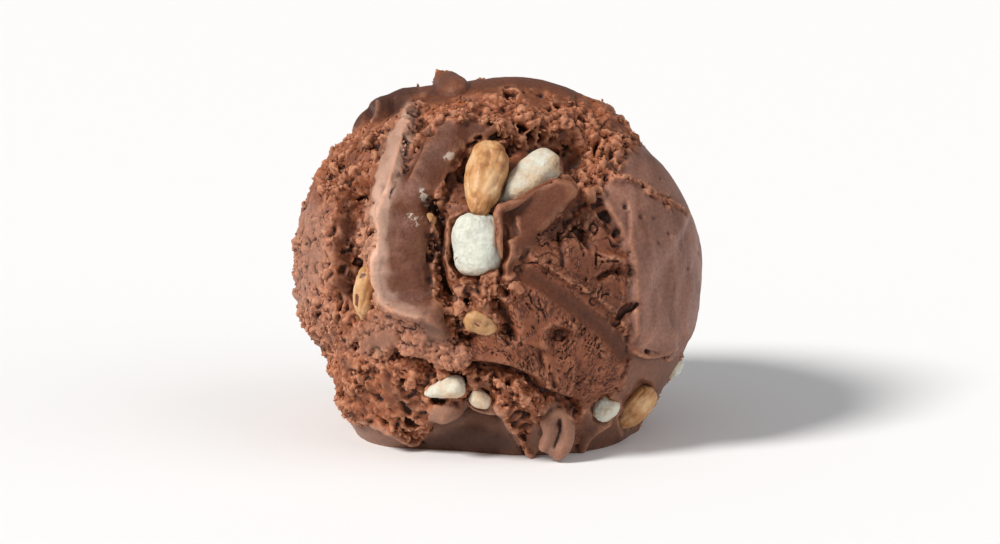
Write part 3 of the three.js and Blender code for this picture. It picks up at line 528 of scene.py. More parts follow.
def evened(values, links, rounds):  # each vertex takes the mean of itself and its neighbours
    values = values.astype(float)
    count = np.bincount(links.ravel(), minlength=len(values)) + 1.0
    for _ in range(rounds):
        total = values.copy()
        for column in range(values.shape[1]):
            total[:, column] += np.bincount(links[:, 0], values[links[:, 1], column], len(values))
            total[:, column] += np.bincount(links[:, 1], values[links[:, 0], column], len(values))
        values = total / count[:, None]
    return values


def applied(made):  # the object's mesh with its modifiers worked in
    graph = bpy.context.evaluated_depsgraph_get()
    mesh = bpy.data.meshes.new_from_object(made.evaluated_get(graph))
    old = made.data
    made.modifiers.clear()
    made.data = mesh
    bpy.data.meshes.remove(old)
    return mesh


def withoutVertices(mesh, dropped):  # takes away the vertices where dropped is true
    bm = bmesh.new()
    bm.from_mesh(mesh)
    bmesh.ops.delete(bm, geom=[vert for vert, out in zip(bm.verts, dropped) if out], context="VERTS")
    bm.to_mesh(mesh)
    bm.free()


def addValue(mesh, name, values, form="FLOAT"):  # a value at each vertex, which a material or a strewer reads
    layer = mesh.attributes.new(name, form, "POINT")
    kind = np.int32 if form == "INT" else np.float32
    layer.data.foreach_set("vector" if form == "FLOAT_VECTOR" else "value", values.astype(kind).ravel())


def hollowness(mesh, links, rounds, span):  # 0.5 where even, more in hollows and less on tips
    points = pointsOf(mesh)
    inwards = np.einsum("ij,ij->i", evened(points, links, rounds) - points, normalsOf(mesh))
    return 0.5 + inwards / span


def seen(points):  # where points lie on the picture: across and up
    return np.column_stack([points @ sightRight, points @ sightUp])


def windowAt(points):  # 1 behind the held pieces, where the surface gives way
    flat, most = wander(points), np.zeros(len(points))
    for window in windows.values():
        most = np.maximum(most, smoothStep(inOval(flat, window), 0.3, 0.6))
    most *= frontShare(points)
    raw = unsettled(points)
    for window in backWindows.values():
        most = np.maximum(most, smoothStep(inBackOval(raw, window), 0.3, 0.6))
    return most


def frontShare(points):  # 1 on the near side, 0 on the far side
    return smoothStep((ball["centre"] - points) @ sightAway, -3, 3)


def nearestOn(points, path, reach):  # the points within reach of a path: distance, side and share along it
    line = smoothLine(path, 0.8)
    low, high = line.min(axis=0) - reach, line.max(axis=0) + reach
    near = np.flatnonzero(np.all((points > low) & (points < high), axis=1))
    p = points[near]
    away = np.full(len(p), 1e9)
    side = np.zeros(len(p))
    along = np.zeros(len(p))
    for i, (a, b) in enumerate(zip(line, line[1:])):
        step = b - a
        share = np.clip((p - a) @ step / (step @ step), 0, 1)
        offset = p - a - share[:, None] * step
        distance = np.linalg.norm(offset, axis=1)
        closer = distance < away
        side = np.where(closer, np.sign(step[0] * offset[:, 1] - step[1] * offset[:, 0]), side)
        along = np.where(closer, (i + share) / (len(line) - 1), along)
        away = np.where(closer, distance, away)
    return near, away, side, along


def inOval(flat, oval):  # 1 in the oval's middle, 0.37 on its border
    angle = math.radians(oval["turn"])
    x, y = (flat - oval["at"]).T
    wide = (x * math.cos(angle) + y * math.sin(angle)) / oval["half"][0]
    high = (y * math.cos(angle) - x * math.sin(angle)) / oval["half"][1]
    power = oval.get("power", 2)  # more than 2 squares the oval
    return np.exp(-np.abs(wide) ** power - np.abs(high) ** power)


def inBackOval(points, oval):  # the same for an oval round the back, at a (bearing, height)
    at = onBall(oval["at"])
    right = unit(np.cross([0, 0, 1], normalsOfBall(at)))
    upwards = np.cross(normalsOfBall(at), right)
    flat = np.column_stack([(points - at) @ right, (points - at) @ upwards])
    facing = normalsOfBall(points) @ normalsOfBall(at) > 0
    return inOval(flat, {"at": [0, 0], "half": oval["half"], "turn": oval["turn"]}) * facing


def strokeLift(points, strokes):  # how far the strokes lift each point
    total = np.zeros(len(points))
    for stroke in strokes:
        near, away, _, _ = nearestOn(points, stroke["path"], 3 * stroke["half"])
        total[near] += stroke["lift"] * np.exp(-((away / stroke["half"]) ** 2))
    return total


def edgeLift(flat):  # how far the relief's edges lift each place on the picture
    total = np.zeros(len(flat))
    for edge in relief["edges"].values():
        near, away, side, along = nearestOn(flat, edge["path"], 3 * edge["run"])
        ends = smoothStep(along, 0, 0.12) * smoothStep(1 - along, 0, 0.12)
        inside = away * side
        fall = np.exp(-np.maximum(inside, 0) / edge["run"])
        total[near] += edge["lift"] * ends * smoothStep(inside, -edge["wall"] / 2, edge["wall"] / 2) * fall
    return total


def inLoop(flat, loop, soft):  # 1 inside the outline, 0 outside, soft is half the border's width
    ring = np.array(loop + loop[:1], dtype=float)
    box = np.flatnonzero(np.all((flat > ring.min(axis=0) - soft) & (flat < ring.max(axis=0) + soft), axis=1))
    p = flat[box]
    inside = np.zeros(len(p), dtype=bool)
    away = np.full(len(p), 1e9)
    for a, b in zip(ring, ring[1:]):
        step = b - a
        share = np.clip((p - a) @ step / (step @ step), 0, 1)
        away = np.minimum(away, np.linalg.norm(p - a - share[:, None] * step, axis=1))
        if a[1] != b[1]:
            crossing = (a[1] > p[:, 1]) != (b[1] > p[:, 1])
            inside ^= crossing & (p[:, 0] < a[0] + (p[:, 1] - a[1]) / step[1] * step[0])
    mask = np.zeros(len(flat))
    mask[box] = smoothStep(np.where(inside, away, -away), -soft, soft)
    return mask


def wander(points):  # places on the picture, moved a little so that borders run ragged
    flat = seen(points)
    for column, seed in enumerate(ragged["seeds"]):
        flat[:, column] += ragged["reach"] * waves(points, ragged["length"], seed)
    return flat


def wipedAt(points):  # 1 where the surface is smooth, 0 where it is torn into crumbs
    flat, most = wander(points), np.zeros(len(points))
    for name, loop in wiped.items():
        most = np.maximum(most, wipedShare.get(name, 1) * inLoop(flat, loop, 0.7))
    most *= frontShare(points)
    raw = unsettled(points)
    most = np.maximum(most, 0.65 * smoothStep(layered(raw, noises["wipedPatches"]), 0.3, 0.55))
    for oval in wipedBack:
        most = np.maximum(most, smoothStep(inBackOval(raw, oval), 0.25, 0.5))
    return most


def ballMesh(name, cuts):
    bm = bmesh.new()
    bmesh.ops.create_icosphere(bm, subdivisions=cuts, radius=1)
    return newMesh(name, bm)


def rollMesh(name, roll):  # a ball drawn out along a path, with a radius at each of its points
    if "points" in roll:
        line = np.array(roll["points"], dtype=float)
    else:
        line = np.array([spotAt([x, y], rise) for x, y, rise in roll["path"]])
    mesh = ballMesh(name, 5)
    v = pointsOf(mesh)
    course = smoothLine(np.column_stack([line, roll["radii"]]), 0.1)
    spot = (v[:, 2] + 1) / 2 * (len(course) - 1)
    first = np.minimum(spot.astype(int), len(course) - 2)
    at = course[first] + (course[first + 1] - course[first]) * (spot - first)[:, None]
    ahead = unit(evenedRows(np.gradient(course[:, :3], axis=0)))[first]
    side = unit(np.cross(sightAway, ahead))
    away = np.cross(ahead, side)
    radius = (at[:, 3] * np.sqrt(1 + v[:, 2] ** 2))[:, None]
    points = at[:, :3] + ahead * v[:, 2:] * at[:, 3:] * 0.4
    points += side * v[:, :1] * radius + away * v[:, 1:2] * radius * roll["flat"]
    movePoints(mesh, points)
    return mesh


def tongueMesh():  # a slab of the tongue's outline with rounded edges, turned and set in place
    bm = bmesh.new()
    corners = np.array(tongue["outline"]) - tongue["middle"]
    face = bm.faces.new([bm.verts.new((x, y, 0)) for x, y in corners])
    grown = bmesh.ops.extrude_face_region(bm, geom=[face])["geom"]
    behind = [v for v in grown if isinstance(v, bmesh.types.BMVert)]
    bmesh.ops.translate(bm, vec=(0, 0, -tongue["thick"]), verts=behind)
    bmesh.ops.bevel(bm, geom=bm.edges[:], offset=tongue["round"], affect="EDGES", segments=3, profile=0.5,
                    material=-1)
    for axis, degrees in (("Y", -tongue["faceLeft"]), ("X", -tongue["faceUp"])):
        bmesh.ops.rotate(bm, matrix=Matrix.Rotation(math.radians(degrees), 3, axis), verts=bm.verts)
    bmesh.ops.recalc_face_normals(bm, faces=bm.faces)
    mesh = newMesh("tongue", bm)
    v = pointsOf(mesh)
    place = v[:, :1] * sightRight + v[:, 1:2] * sightUp - v[:, 2:] * sightAway
    movePoints(mesh, spotAt(tongue["middle"], tongue["rise"]) + place)
    return mesh


def evenedRows(rows):  # each row takes on some of the rows before and after it
    for _ in range(8):
        rows = np.vstack([rows[:1], (rows[:-2] + rows[1:-1] * 2 + rows[2:]) / 4, rows[-1:]])
    return rows


def crumbTemplates(name, cuts):  # one uneven crumb of radius 1 for each kind
    made = []
    for index in range(iceCreamLook["kinds"]):
        mesh = ballMesh(f"{name}{index}", cuts)
        points = pointsOf(mesh)
        points *= (1 + 0.55 * waves(points + index * 5.3, 0.9, index))[:, None]
        movePoints(mesh, points * [1.1, 0.85, 0.7])
        made.append(mesh)
    return made


strewValues = {"size": "FLOAT", "turn": "FLOAT_VECTOR", "kind": "INT"}


def crumbStrewer(name, cuts):  # sets a turned crumb of a vertex's own size on each vertex
    kinds = bpy.data.collections.new(name + "Kinds")
    for index, mesh in enumerate(crumbTemplates(name, cuts)):
        kinds.objects.link(bpy.data.objects.new(f"{name}Kind{index}", mesh))
    group = bpy.data.node_groups.new(name + "Strewer", "GeometryNodeTree")
    group.interface.new_socket(name="Geometry", in_out="INPUT", socket_type="NodeSocketGeometry")
    group.interface.new_socket(name="Geometry", in_out="OUTPUT", socket_type="NodeSocketGeometry")
    nodes = Nodes(group)
    source, result = nodes.add("NodeGroupInput"), nodes.add("NodeGroupOutput")
    kind = nodes.add("GeometryNodeCollectionInfo")
    kind.inputs["Collection"].default_value = kinds
    kind.inputs["Separate Children"].default_value = True
    place = nodes.add("GeometryNodeInstanceOnPoints")
    place.inputs["Pick Instance"].default_value = True
    nodes.join(source.outputs[0], place.inputs["Points"])
    nodes.join(kind.outputs[0], place.inputs["Instance"])
    for entry, value in (("Instance Index", "kind"), ("Rotation", "turn"), ("Scale", "size")):
        read = nodes.add("GeometryNodeInputNamedAttribute", data_type=strewValues[value])
        read.inputs["Name"].default_value = value
        nodes.join(next(o for o in read.outputs if o.enabled), place.inputs[entry])
    real = nodes.add("GeometryNodeRealizeInstances")
    nodes.join(place.outputs[0], real.inputs[0])
    nodes.join(real.outputs[0], result.inputs[0])
    return group


def strewn(name, strewer, mesh, sizes, chosen, seed):  # crumbs of these sizes at the mesh's chosen vertices
    luck = np.random.default_rng(seed)
    count = len(sizes)
    turns = luck.random((count, 3)).astype(np.float32) * 2 * math.pi
    kinds = luck.integers(0, iceCreamLook["kinds"], count)
    for (value, form), given in zip(strewValues.items(), (sizes, turns, kinds)):
        addValue(mesh, value, given, form)
    withoutVertices(mesh, ~chosen)
    made = objectOf(name, mesh)
    made.modifiers.new("strew", "NODES").node_group = strewer
    crumbs = applied(made)
    for value in strewValues:
        crumbs.attributes.remove(crumbs.attributes[value])
    bpy.data.objects.remove(made)
    return crumbs


def joined(name, meshes):
    bm = bmesh.new()
    for mesh in meshes:
        bm.from_mesh(mesh)
        bpy.data.meshes.remove(mesh)
    return newMesh(name, bm)


def cragShare(raw):  # how rough the torn surface is, by places
    return 0.45 + 0.75 * smoothStep(layered(raw, noises["crag"]), -0.5, 0.5)


def shapedBall(cuts):  # the pressed ball with its relief, and how smooth it is at each vertex
    mesh = ballMesh("pressedBall", cuts)
    raw = pointsOf(mesh) * ball["radii"] + ball["centre"]
    outwards = normalsOfBall(raw)
    lift = layered(raw, noises["ball"])
    for stroke in relief["backStrokes"].values():
        lift += strokeLift(raw, [{**stroke, "path": [onBall(place) for place in stroke["path"]]}])
    points = settled(raw + outwards * lift[:, None])
    mounds = sum(mound["lift"] * inOval(seen(points), mound) for mound in relief["mounds"].values())
    for window in windows.values():
        wide = {**window, "half": np.array(window["half"]) * 1.25}
        mounds -= window["depth"] * smoothStep(inOval(wander(points), wide), 0.37, 0.62)
    mounds *= frontShare(points)
    for window in backWindows.values():
        mounds -= window["depth"] * smoothStep(inBackOval(raw, window), 0.3, 0.6)
    points += outwards * mounds[:, None]
    points += outwards * (edgeLift(seen(points)) * frontShare(points))[:, None]
    points += outwards * (strokeLift(seen(points), relief["strokes"].values()) * frontShare(points))[:, None]
    smooth = wipedAt(points)
    torn = layered(raw, noises["torn"]) * cragShare(raw) - iceCreamLook["crumbDepth"]
    torn = np.minimum(torn, 1.5 - 3 * windowAt(points))
    points += outwards * ((1 - smooth) * torn)[:, None]
    movePoints(mesh, points)
    return mesh, smooth


def crumbMesh():  # crumbs where the surface is torn, which are fused with the ball
    look = iceCreamLook
    mesh, smooth = shapedBall(look["crumbCuts"])
    seed, strewSeed = look["crumbSeeds"]
    luck = np.random.default_rng(seed)
    points = pointsOf(mesh)
    low, high = look["crumbRadius"]
    clump = smoothStep(layered(points, noises["clumps"]), -0.45, 0.6)
    size = low + (high - low) * clump * luck.random(len(points)) ** 2
    taken = luck.random(len(points)) < look["crumbShare"] * (0.3 + 0.7 * clump)
    clear = (points[:, 2] > look["clear"]) & (windowAt(points) < look["clear"]) & ~fineZone(points)
    chosen = (smooth < look["torn"]) & taken & clear
    out = clump * 0.4 + luck.random(len(points)) * 0.4 - 0.4
    scatter = luck.normal(size=points.shape) * look["crumbScatter"]
    movePoints(mesh, points + scatter + normalsOf(mesh) * out[:, None])
    print("crumbs", np.count_nonzero(chosen))
    return strewn("crumbs", crumbStrewer("crumb", 2), mesh, size, chosen, strewSeed)


def grainMesh(body):  # small grains that sit in the torn surface of the finished body
    look = iceCreamLook
    low, high = look["grainRadius"]
    rough = 1 - wipedAt(pointsOf(body))
    strewer = crumbStrewer("grain", 1)
    seed, strewSeed = look["grainSeeds"]
    meshes = []
    for turn in range(look["grainTurns"]):
        luck = np.random.default_rng(seed + turn)
        mesh = body.copy()
        points = pointsOf(mesh)
        count = len(points)
        crag = cragShare(unsettled(points))
        wanted = look["grainCount"] / look["grainTurns"]
        gathered = smoothStep(layered(points, noises["gathered"]), -0.2, 0.5)
        share = rough * crag * (0.15 + gathered) * np.where(onFarSide(points), look["farGrains"], 1)
        taken = luck.random(count) < share * wanted / share.sum()
        chosen = taken & (points[:, 2] > look["grainFloor"])
        size = low + (high - low) * luck.random(count) ** 2.2
        size *= np.where(fineZone(points), look["fineGrains"], 1)
        scatter = luck.normal(size=points.shape) * look["grainScatter"]
        movePoints(mesh, points + (normalsOf(mesh) * (size * 0.25)[:, None] + scatter))
        meshes.append(strewn(f"grains{turn}", strewer, mesh, size, chosen, strewSeed + turn))
    return joined("grains", meshes)


def onFarSide(points):
    return (points - ball["centre"]) @ sightAway > iceCreamLook["farFrom"]


def fineZone(points):  # true in the oval where the torn surface is finer
    across, up = (seen(points) - fineOval["at"]).T
    wide, high = fineOval["half"]
    inside = (across / wide) ** 2 + ((up + fineOval["fall"] * across) / high) ** 2 < 1
    return inside & (points @ sightAway < 0)


def iceCreamMesh():
    look = iceCreamLook
    body, _ = shapedBall(look["ballCuts"])
    print("iceCream: ball shaped")
    parts = [body, crumbMesh()] + [rollMesh(name, roll) for name, roll in rolls.items()] + [tongueMesh()]
    made = objectOf("iceCream", joined("iceCream", parts))
    remesh = made.modifiers.new("fuse", "REMESH")
    remesh.mode = "VOXEL"
    remesh.voxel_size = look["voxel"]
    mesh = applied(made)
    keepMain(mesh)
    print("iceCream: fused", len(mesh.polygons))
    finishSurface(mesh)
    far = onFarSide(pointsOf(mesh))
    triangles = 2 * len(mesh.polygons)
    left = 1 - (1 - look["farShare"]) * far.mean()
    thinned(made, left, far)
    mesh = thinned(made, look["mostFaces"] / (left * triangles))
    print("iceCream: thinned", len(mesh.polygons))
    return made


def keepMain(mesh):  # drops loose scraps and shut-in hollows, so that one closed skin is left
    a, b = edgesOf(mesh).T
    label = np.arange(len(mesh.vertices))
    while (label[a] != label[b]).any():
        labelA, labelB = label[a], label[b]
        low = np.minimum(labelA, labelB)
        np.minimum.at(label, labelA, low)
        np.minimum.at(label, labelB, low)
        while (label[label] != label).any():
            label = label[label]
    names, counts = np.unique(label, return_counts=True)
    withoutVertices(mesh, label != names[counts.argmax()])


def thinned(made, share, chosen=None):  # merges faces down to this share, at the chosen vertices if given
    thin = made.modifiers.new("thin", "DECIMATE")
    thin.ratio = min(share, 1)
    if chosen is not None:
        made.vertex_groups.new(name="far").add(np.flatnonzero(chosen).tolist(), 1.0, "REPLACE")
        thin.vertex_group = "far"
    mesh = applied(made)
    made.vertex_groups.clear()
    return mesh


scrapedBand = relief["strokes"]["scrapedBand"]["path"]
fan = {
    "root": (8.2, 2),  # the tears of the scooped face spread from here
    "upperRoot": (-1.5, 5.6),  # and those above the scraped band from here
    "low": [[-4, 9], [-4, 18], [4, 22], [8, 19], [21, 13], [21, 5], [8, 3], [4, 7]],  # the plainer part
    "tearLength": 2.2,  # mm
    "tearsRound": 16,
}


# The finished surface. Lengths are in mm, and luck is from 0 to 1 for each scattered seed.
surface = {
    "bend": dict(length=1.9, reach=0.45, seed=15),  # how the crumbs' noise is bent
    "plucked": dict(length=2.6, seed=17),  # cells of crumb, of which some are torn out
    "pluckedLuck": 0.76,  # cells with more luck than this are torn out
    "pluckedDepth": (0.6, 0.9),  # all round, and more in front
    "pluckedWall": (0.1, 0.8),
    "tearDepth": (0.7, 0.2),  # in the fan, and how much less in its low part
    "pitDepth": 0.5,
    "pits": {
        "hollow": dict(length=1.1, seed=4, radius=0.45, wider=0, wall=0.3, lucky=0.45),
        "pitted": dict(length=3.2, seed=5, radius=0.36, wider=0.25, wall=0.22, lucky=0.6),
    },
    "depths": {"hollow": (0.6, 0.8), "deep": (1.8, 3)},  # how wide hollows are, and the depth from 0 to 1
}


def zonesAt(points):  # masks of the settled surface, from 0 to 1
    flat, front = wander(points), frontShare(points)
    band = bandMask(points, scrapedBand, 1.5)
    pitted = np.maximum(inLoop(flat, wiped["upperRight"], 0.8), 0.5 * inLoop(flat, wiped["dome"], 0.8))
    return {
        "front": front,
        "fan": inLoop(flat, wiped["fan"], 0.6) * front * (1 - band),
        "fanLow": inLoop(flat, fan["low"], 1) * front,
        "hollow": inLoop(flat, wiped["hollow"], 0.8) * (1 - inLoop(flat, wiped["tongue"], 0.8)) * front,
        "pitted": pitted * front,
        "dome": inLoop(flat, wiped["dome"], 0.5) * front,
        "crest": inLoop(flat, wiped["crest"], 0.5) * front,
        "farLeft": 0.5 * inLoop(flat, wiped["farLeft"], 1.5) * front,
    }


def bandMask(points, path, half):  # 1 in a band along a path
    near, away, _, _ = nearestOn(seen(points), path, 2 * half)
    mask = np.zeros(len(points))
    mask[near] = 1 - smoothStep(away, 0.8 * half, 1.1 * half)
    return mask * frontShare(points)


def warped(points, length, reach, seed):  # moved by noise, so that borders bend
    return points + reach * np.column_stack([waves(points, length, seed + i) for i in range(3)])


def pitsAt(points, length, seed, radius, wider, wall, lucky):  # 1 in pits round some of the scattered seeds
    near, _, luck = grains(points, length, seed)
    return smoothStep(radius + wider * luck - near, 0, wall) * (luck > lucky)


def finishSurface(mesh):  # crumbs, pits, tears and grain on the fused surface
    look = surface
    points = pointsOf(mesh)
    links = edgesOf(mesh)
    outwards = unit(evened(normalsOf(mesh), links, 3))
    zones = zonesAt(points)
    rough = 1 - wipedAt(points)
    fine = fineZone(points)
    lift = np.zeros(len(points))

    # Crumbs: lumps of many sizes with creases between them, some torn out
    crag = cragShare(unsettled(points))
    bent = warped(points, **look["bend"])
    crumb = layered(bent, noises["crumb"])
    crumb += 0.14 * waves(bent, 0.9, 27) + 0.14 * waves(points, 0.5, 28)
    near, second, luck = grains(bent, **look["plucked"])
    depth, frontDepth = look["pluckedDepth"]
    plucked = (luck > look["pluckedLuck"]) * smoothStep(second - near, *look["pluckedWall"])
    crumb -= (depth + frontDepth * zones["front"]) * plucked
    grain = 0.5 * lumps(bent, 1.3, 23) + 0.4 * lumps(points, 0.7, 18)
    crumb = np.where(fine, grain, crumb * (1.3 * crag - 0.1))
    lift += rough * np.minimum(crumb, 2 - 3 * windowAt(points))

    # In the fan, tears radiate from a point near the curl.
    place = fanPlace(points)
    bent = place.copy()
    bent[:, :2] += 0.35 * np.column_stack([waves(points, 1.5, 25), waves(points, 1.5, 26)])
    depth, lessLow = look["tearDepth"]
    lift -= (depth - lessLow * zones["fanLow"]) * zones["fan"] * tearsAt(bent)
    lift += zones["fan"] * (0.16 * waves(place * [0.5, 0.35, 1], 1, 19) + 0.1 * lumps(points, 0.7, 20))

    for zone, pits in look["pits"].items():
        lift -= look["pitDepth"] * zones[zone] * pitsAt(points, **pits)
    lift += (1 - rough) * layered(points, noises["wipedSkin"])
    lift += zones["front"] * strokeLift(seen(points), creases.values())
    points += outwards * lift[:, None]
    points[:, 2] = np.maximum(points[:, 2], 0)
    movePoints(mesh, points)
    markDepth(mesh, links)


def markDepth(mesh, links):  # fine hollows and wide ones, which the material darkens as painted shade and lightens on tips as painted highlight
    for name, (reach, span) in surface["depths"].items():
        rounds = int(2.5 * (reach / iceCreamLook["voxel"]) ** 2)
        addValue(mesh, name, hollowness(mesh, links, rounds, span))


def fanPlace(points):  # how far out from the root of the tears, which way, and how deep
    across, up = seen(points).T
    above = smoothStep(up - np.interp(across, *np.transpose(scrapedBand)), -0.3, 0.3)
    (rootX, rootY), (upperX, upperY) = fan["root"], fan["upperRoot"]
    fromX = across - rootX - (upperX - rootX) * above
    fromY = up - rootY - (upperY - rootY) * above
    return np.column_stack([np.hypot(fromX, fromY) / fan["tearLength"],
                            np.arctan2(fromX, fromY) * fan["tearsRound"], points @ sightAway / 3])


def tearsAt(place):  # 1 in the tears, which break off where a wider noise is low
    line = 1 - smoothStep(np.abs(waves(place, 1, 3)), 0.02, 0.17)
    return line * smoothStep(waves(place * [0.7, 0.4, 1], 1, 27), -0.15, 0.2)


def unsettled(points):  # the places on the ball before it settled
    guess = points.copy()
    for _ in range(3):
        guess += points - settled(guess)
    return guess


def markSurface(mesh):  # values that the material reads
    points = pointsOf(mesh)
    zones = zonesAt(points)
    addValue(mesh, "wiped", wipedAt(points))
    addValue(mesh, "fan", zones["fan"])
    addValue(mesh, "frost", frostAt(points, zones))
    # pale holds painted light: the crest's painted highlight and the lit outlines
    addValue(mesh, "pale", paintedLightAt(points, zones))
    # shade holds painted shade, from the shaded outlines
    addValue(mesh, "shade", tintAt(points, paintedShades))
    addValue(mesh, "smear", zones["front"] * sum(inOval(seen(points), oval) for oval in smears))
    addValue(mesh, "fanPlace", fanPlace(points), "FLOAT_VECTOR")


def frostAt(points, zones):  # paler, frosted skin of the dome, in streaks that run down it; on the left of the flap, mottled frost with painted light where the key light falls
    flat = seen(points)
    across, up = flat.T
    drawn = np.column_stack([across + 1.5 * waves(points, 9, 51), up * 0.16, across * 0])
    streaks = waves(drawn, 1.5, 52)
    mottled = smoothStep(layered(points, noises["mottled"]), -0.3, 0.4)
    # the flap's left half is mottled frost and painted light on the side the key light reaches
    flap = 0.55 * inLoop(flat, flapFrostAndLight, 1.2) * mottled * zones["front"]
    frosted = np.maximum(np.maximum(zones["dome"], 0.8 * zones["pitted"]), np.maximum(zones["farLeft"], flap))
    raw = unsettled(points)
    for oval in wipedBack:
        frosted = np.maximum(frosted, 0.9 * smoothStep(inBackOval(raw, oval), 0.25, 0.5))
    return frosted * np.clip(0.7 + 0.5 * streaks, 0.2, 1)


def paintedLightAt(points, zones):  # painted light: a painted highlight on the crest, most near its ridge and less up where it is torn, and the painted light of the lights outlines
    flat = seen(points)
    ridge = np.zeros(len(points))
    near, away, _, _ = nearestOn(flat, relief["strokes"]["crest"]["path"], 4)
    ridge[near] = np.exp(-((away / 0.9) ** 2))
    height = (0.5 + 0.5 * smoothStep(flat[:, 1], 18, 25)) * (1 - 0.25 * smoothStep(flat[:, 1], 37, 43))
    patchy = np.clip(0.95 + 0.35 * waves(points, 2.2, 53) + 0.3 * waves(points, 0.9, 54), 0.2, 1)
    crest = np.maximum(zones["crest"] * (0.85 + 0.3 * ridge), 1.1 * ridge * zones["front"])
    return np.minimum(np.maximum(crest * height, tintAt(points, lights)) * patchy, 1)


# the flap's lit left half, where frost and painted light are mottled in
flapFrostAndLight = [
    [-20, 18], [-20, 36], [-17, 38], [-14, 44], [-12, 48], [-7, 49.5], [-8, 46], [-11.5, 41], [-13.5, 36],
    [-14.2, 30], [-13.8, 24], [-11, 19], [-10, 15], [-16, 16]]

# Outlines on the picture, with how dark or pale they are. The shades are painted shade: darker where shade
# falls under the ball, in the cleft, valley, hollows and recesses, by the foot and on sides turned from the
# light.
paintedShades = {
    "under": (0.7, [
        [-13.6, -3.4], [-10, -1.2], [-5, 0.2], [0, -0.2], [3, -2.6], [5, -5], [3, -8], [-14, -9]]),
    "upperLeft": (0.75, [
        [-29, 45.6], [-25.7, 48.6], [-22.6, 50], [-18.6, 51], [-16, 52], [-14, 54], [-13.6, 56], [-18, 58],
        [-28, 54]]),
    "hollowTop": (0.5, [[-8, 45], [-4, 44], [-1, 46], [0, 42], [-7, 38], [-9, 40]]),
    "aboveKernel": (0.35, [
        [-1, 47], [4, 48.4], [9, 48.6], [14, 47], [15, 42], [12, 41], [10, 45], [3, 45], [0, 44]]),
    "cleft": (0.85, [[-12, 37], [-9.4, 37], [-8.4, 30], [-8.6, 25], [-10.6, 25], [-11.6, 31]]),
    "foot": (0.25, [[14, 2], [20, -1], [27, 1], [30, 6], [27, -3], [14, -8]]),
    "valley": (0.75, [
        [-24, 38.6], [-23.4, 33], [-23.6, 28], [-23.6, 21.4], [-25, 20.8], [-26, 25], [-25.8, 31],
        [-25.2, 37]]),
    "underTongue": (0.6, [[9, 34.2], [11.6, 36.6], [12.8, 35.6], [11.6, 32.6], [8.6, 30], [6.8, 30.8]]),
    "upperFan": (0.35, [
        [5, 27.6], [8, 31], [14, 31], [19, 30], [20.8, 24], [20.6, 14], [17, 19], [12, 23], [7, 26]]),
    "flap": (0.2, wiped["flap"]),
    "flapTop": (0.35, [
        [-14.5, 40], [-12.8, 45], [-10, 49.4], [-4, 49.6], [-0.8, 48], [-5, 46], [-8, 42], [-11, 38.4],
        [-13.5, 37]]),
    "flapRight": (0.45, [
        [-13.8, 38], [-11, 37], [-10.8, 30], [-10.6, 24], [-8.6, 20], [-12.4, 20], [-13.4, 26],
        [-13.4, 32]]),
    "upLeft": (0.15, [[-31, 36], [-28, 46], [-18, 48], [-19, 38], [-25, 36]]),
    "byTongue": (0.4, [[2.6, 29], [8, 33], [13, 38], [18, 37.6], [19.4, 32], [14, 29.6], [8, 28], [3, 27]]),
}
# The lights are painted light: paler where the key light falls, on the crest's flank, the left side, the
# shelf, the curl and the fine crumbs.
lights = {
    "shelf": (0.27, wiped["shelf"]),
    "curl": (0.22, wiped["curl"]),
    "left": (0.17, [[-35, 12], [-35, 36], [-27, 36], [-27, 12]]),
    "fine": (0.2, [
        [-26, 14], [-20, 18.6], [-12, 18.4], [-5, 13.5], [-5, 10], [-12, 10.6], [-18, 11.6], [-24, 11.5]]),
    "flank": (0.3, [[-21.6, 37], [-23, 33], [-23.2, 27], [-23, 22], [-20, 19.4], [-20.6, 27], [-19.6, 35]]),
    "rightLow": (0.12, wiped["rightLow"]),
}
smears = [dict(at=[-13.8, 33.6], half=[1.7, 1], turn=0), dict(at=[-11.9, 37.1], half=[0.8, 1.8], turn=25),
          dict(at=[-7.7, 44], half=[1.5, 0.7], turn=25)]


def tintAt(points, table):  # the strongest tint of a table at each point
    flat, most = wander(points), np.zeros(len(points))
    for share, loop in table.values():
        most = np.maximum(most, share * inLoop(flat, loop, 0.9))
    return most * frontShare(points)


# Materials
def linear(red, green, blue):  # from 0 to 255 as a picture shows them
    shares = [value / 255 for value in (red, green, blue)]
    return tuple(s / 12.92 if s < 0.0404 else ((s + 0.055) / 1.055) ** 2.4 for s in shares)


def newMaterial(name):
    material = bpy.data.materials.new(name)
    material.use_nodes = True
    nodes = Nodes(material.node_tree)
    shader = material.node_tree.nodes["Principled BSDF"]
    return material, nodes, shader


def newGroup(name, entries, result):  # a shader node group; an entry without a plain value is a colour
    group = bpy.data.node_groups.new(name, "ShaderNodeTree")
    for entry, plain in entries.items():
        kind = "NodeSocketColor" if plain is None else "NodeSocketFloat"
        socket = group.interface.new_socket(name=entry, in_out="INPUT", socket_type=kind)
        if plain is not None:
            socket.default_value = plain
    group.interface.new_socket(name=result[0], in_out="OUTPUT", socket_type=result[1])
    nodes = Nodes(group)
    return group, nodes, nodes.add("NodeGroupInput").outputs, nodes.add("NodeGroupOutput").inputs[0]


def fineGrainGroup():  # a normal with fine grain over a height of the material's own
    entries = {"Scale": 1500.0, "Strength": 0.5, "Depth": 0.0003, "Height": 0.0}
    group, nodes, given, result = newGroup("fineGrain", entries, ("Normal", "NodeSocketVector"))
    noise = nodes.noise(nodes.place(), 1500, 5, 0.65)
    nodes.join(given["Scale"], noise.node.inputs["Scale"])
    bump = nodes.add("ShaderNodeBump")
    height = nodes.sum(noise, given["Height"])
    for entry, value in {"Strength": given["Strength"], "Distance": given["Depth"], "Height": height}.items():
        nodes.join(value, bump.inputs[entry])
    nodes.join(bump.outputs["Normal"], result)
    return group


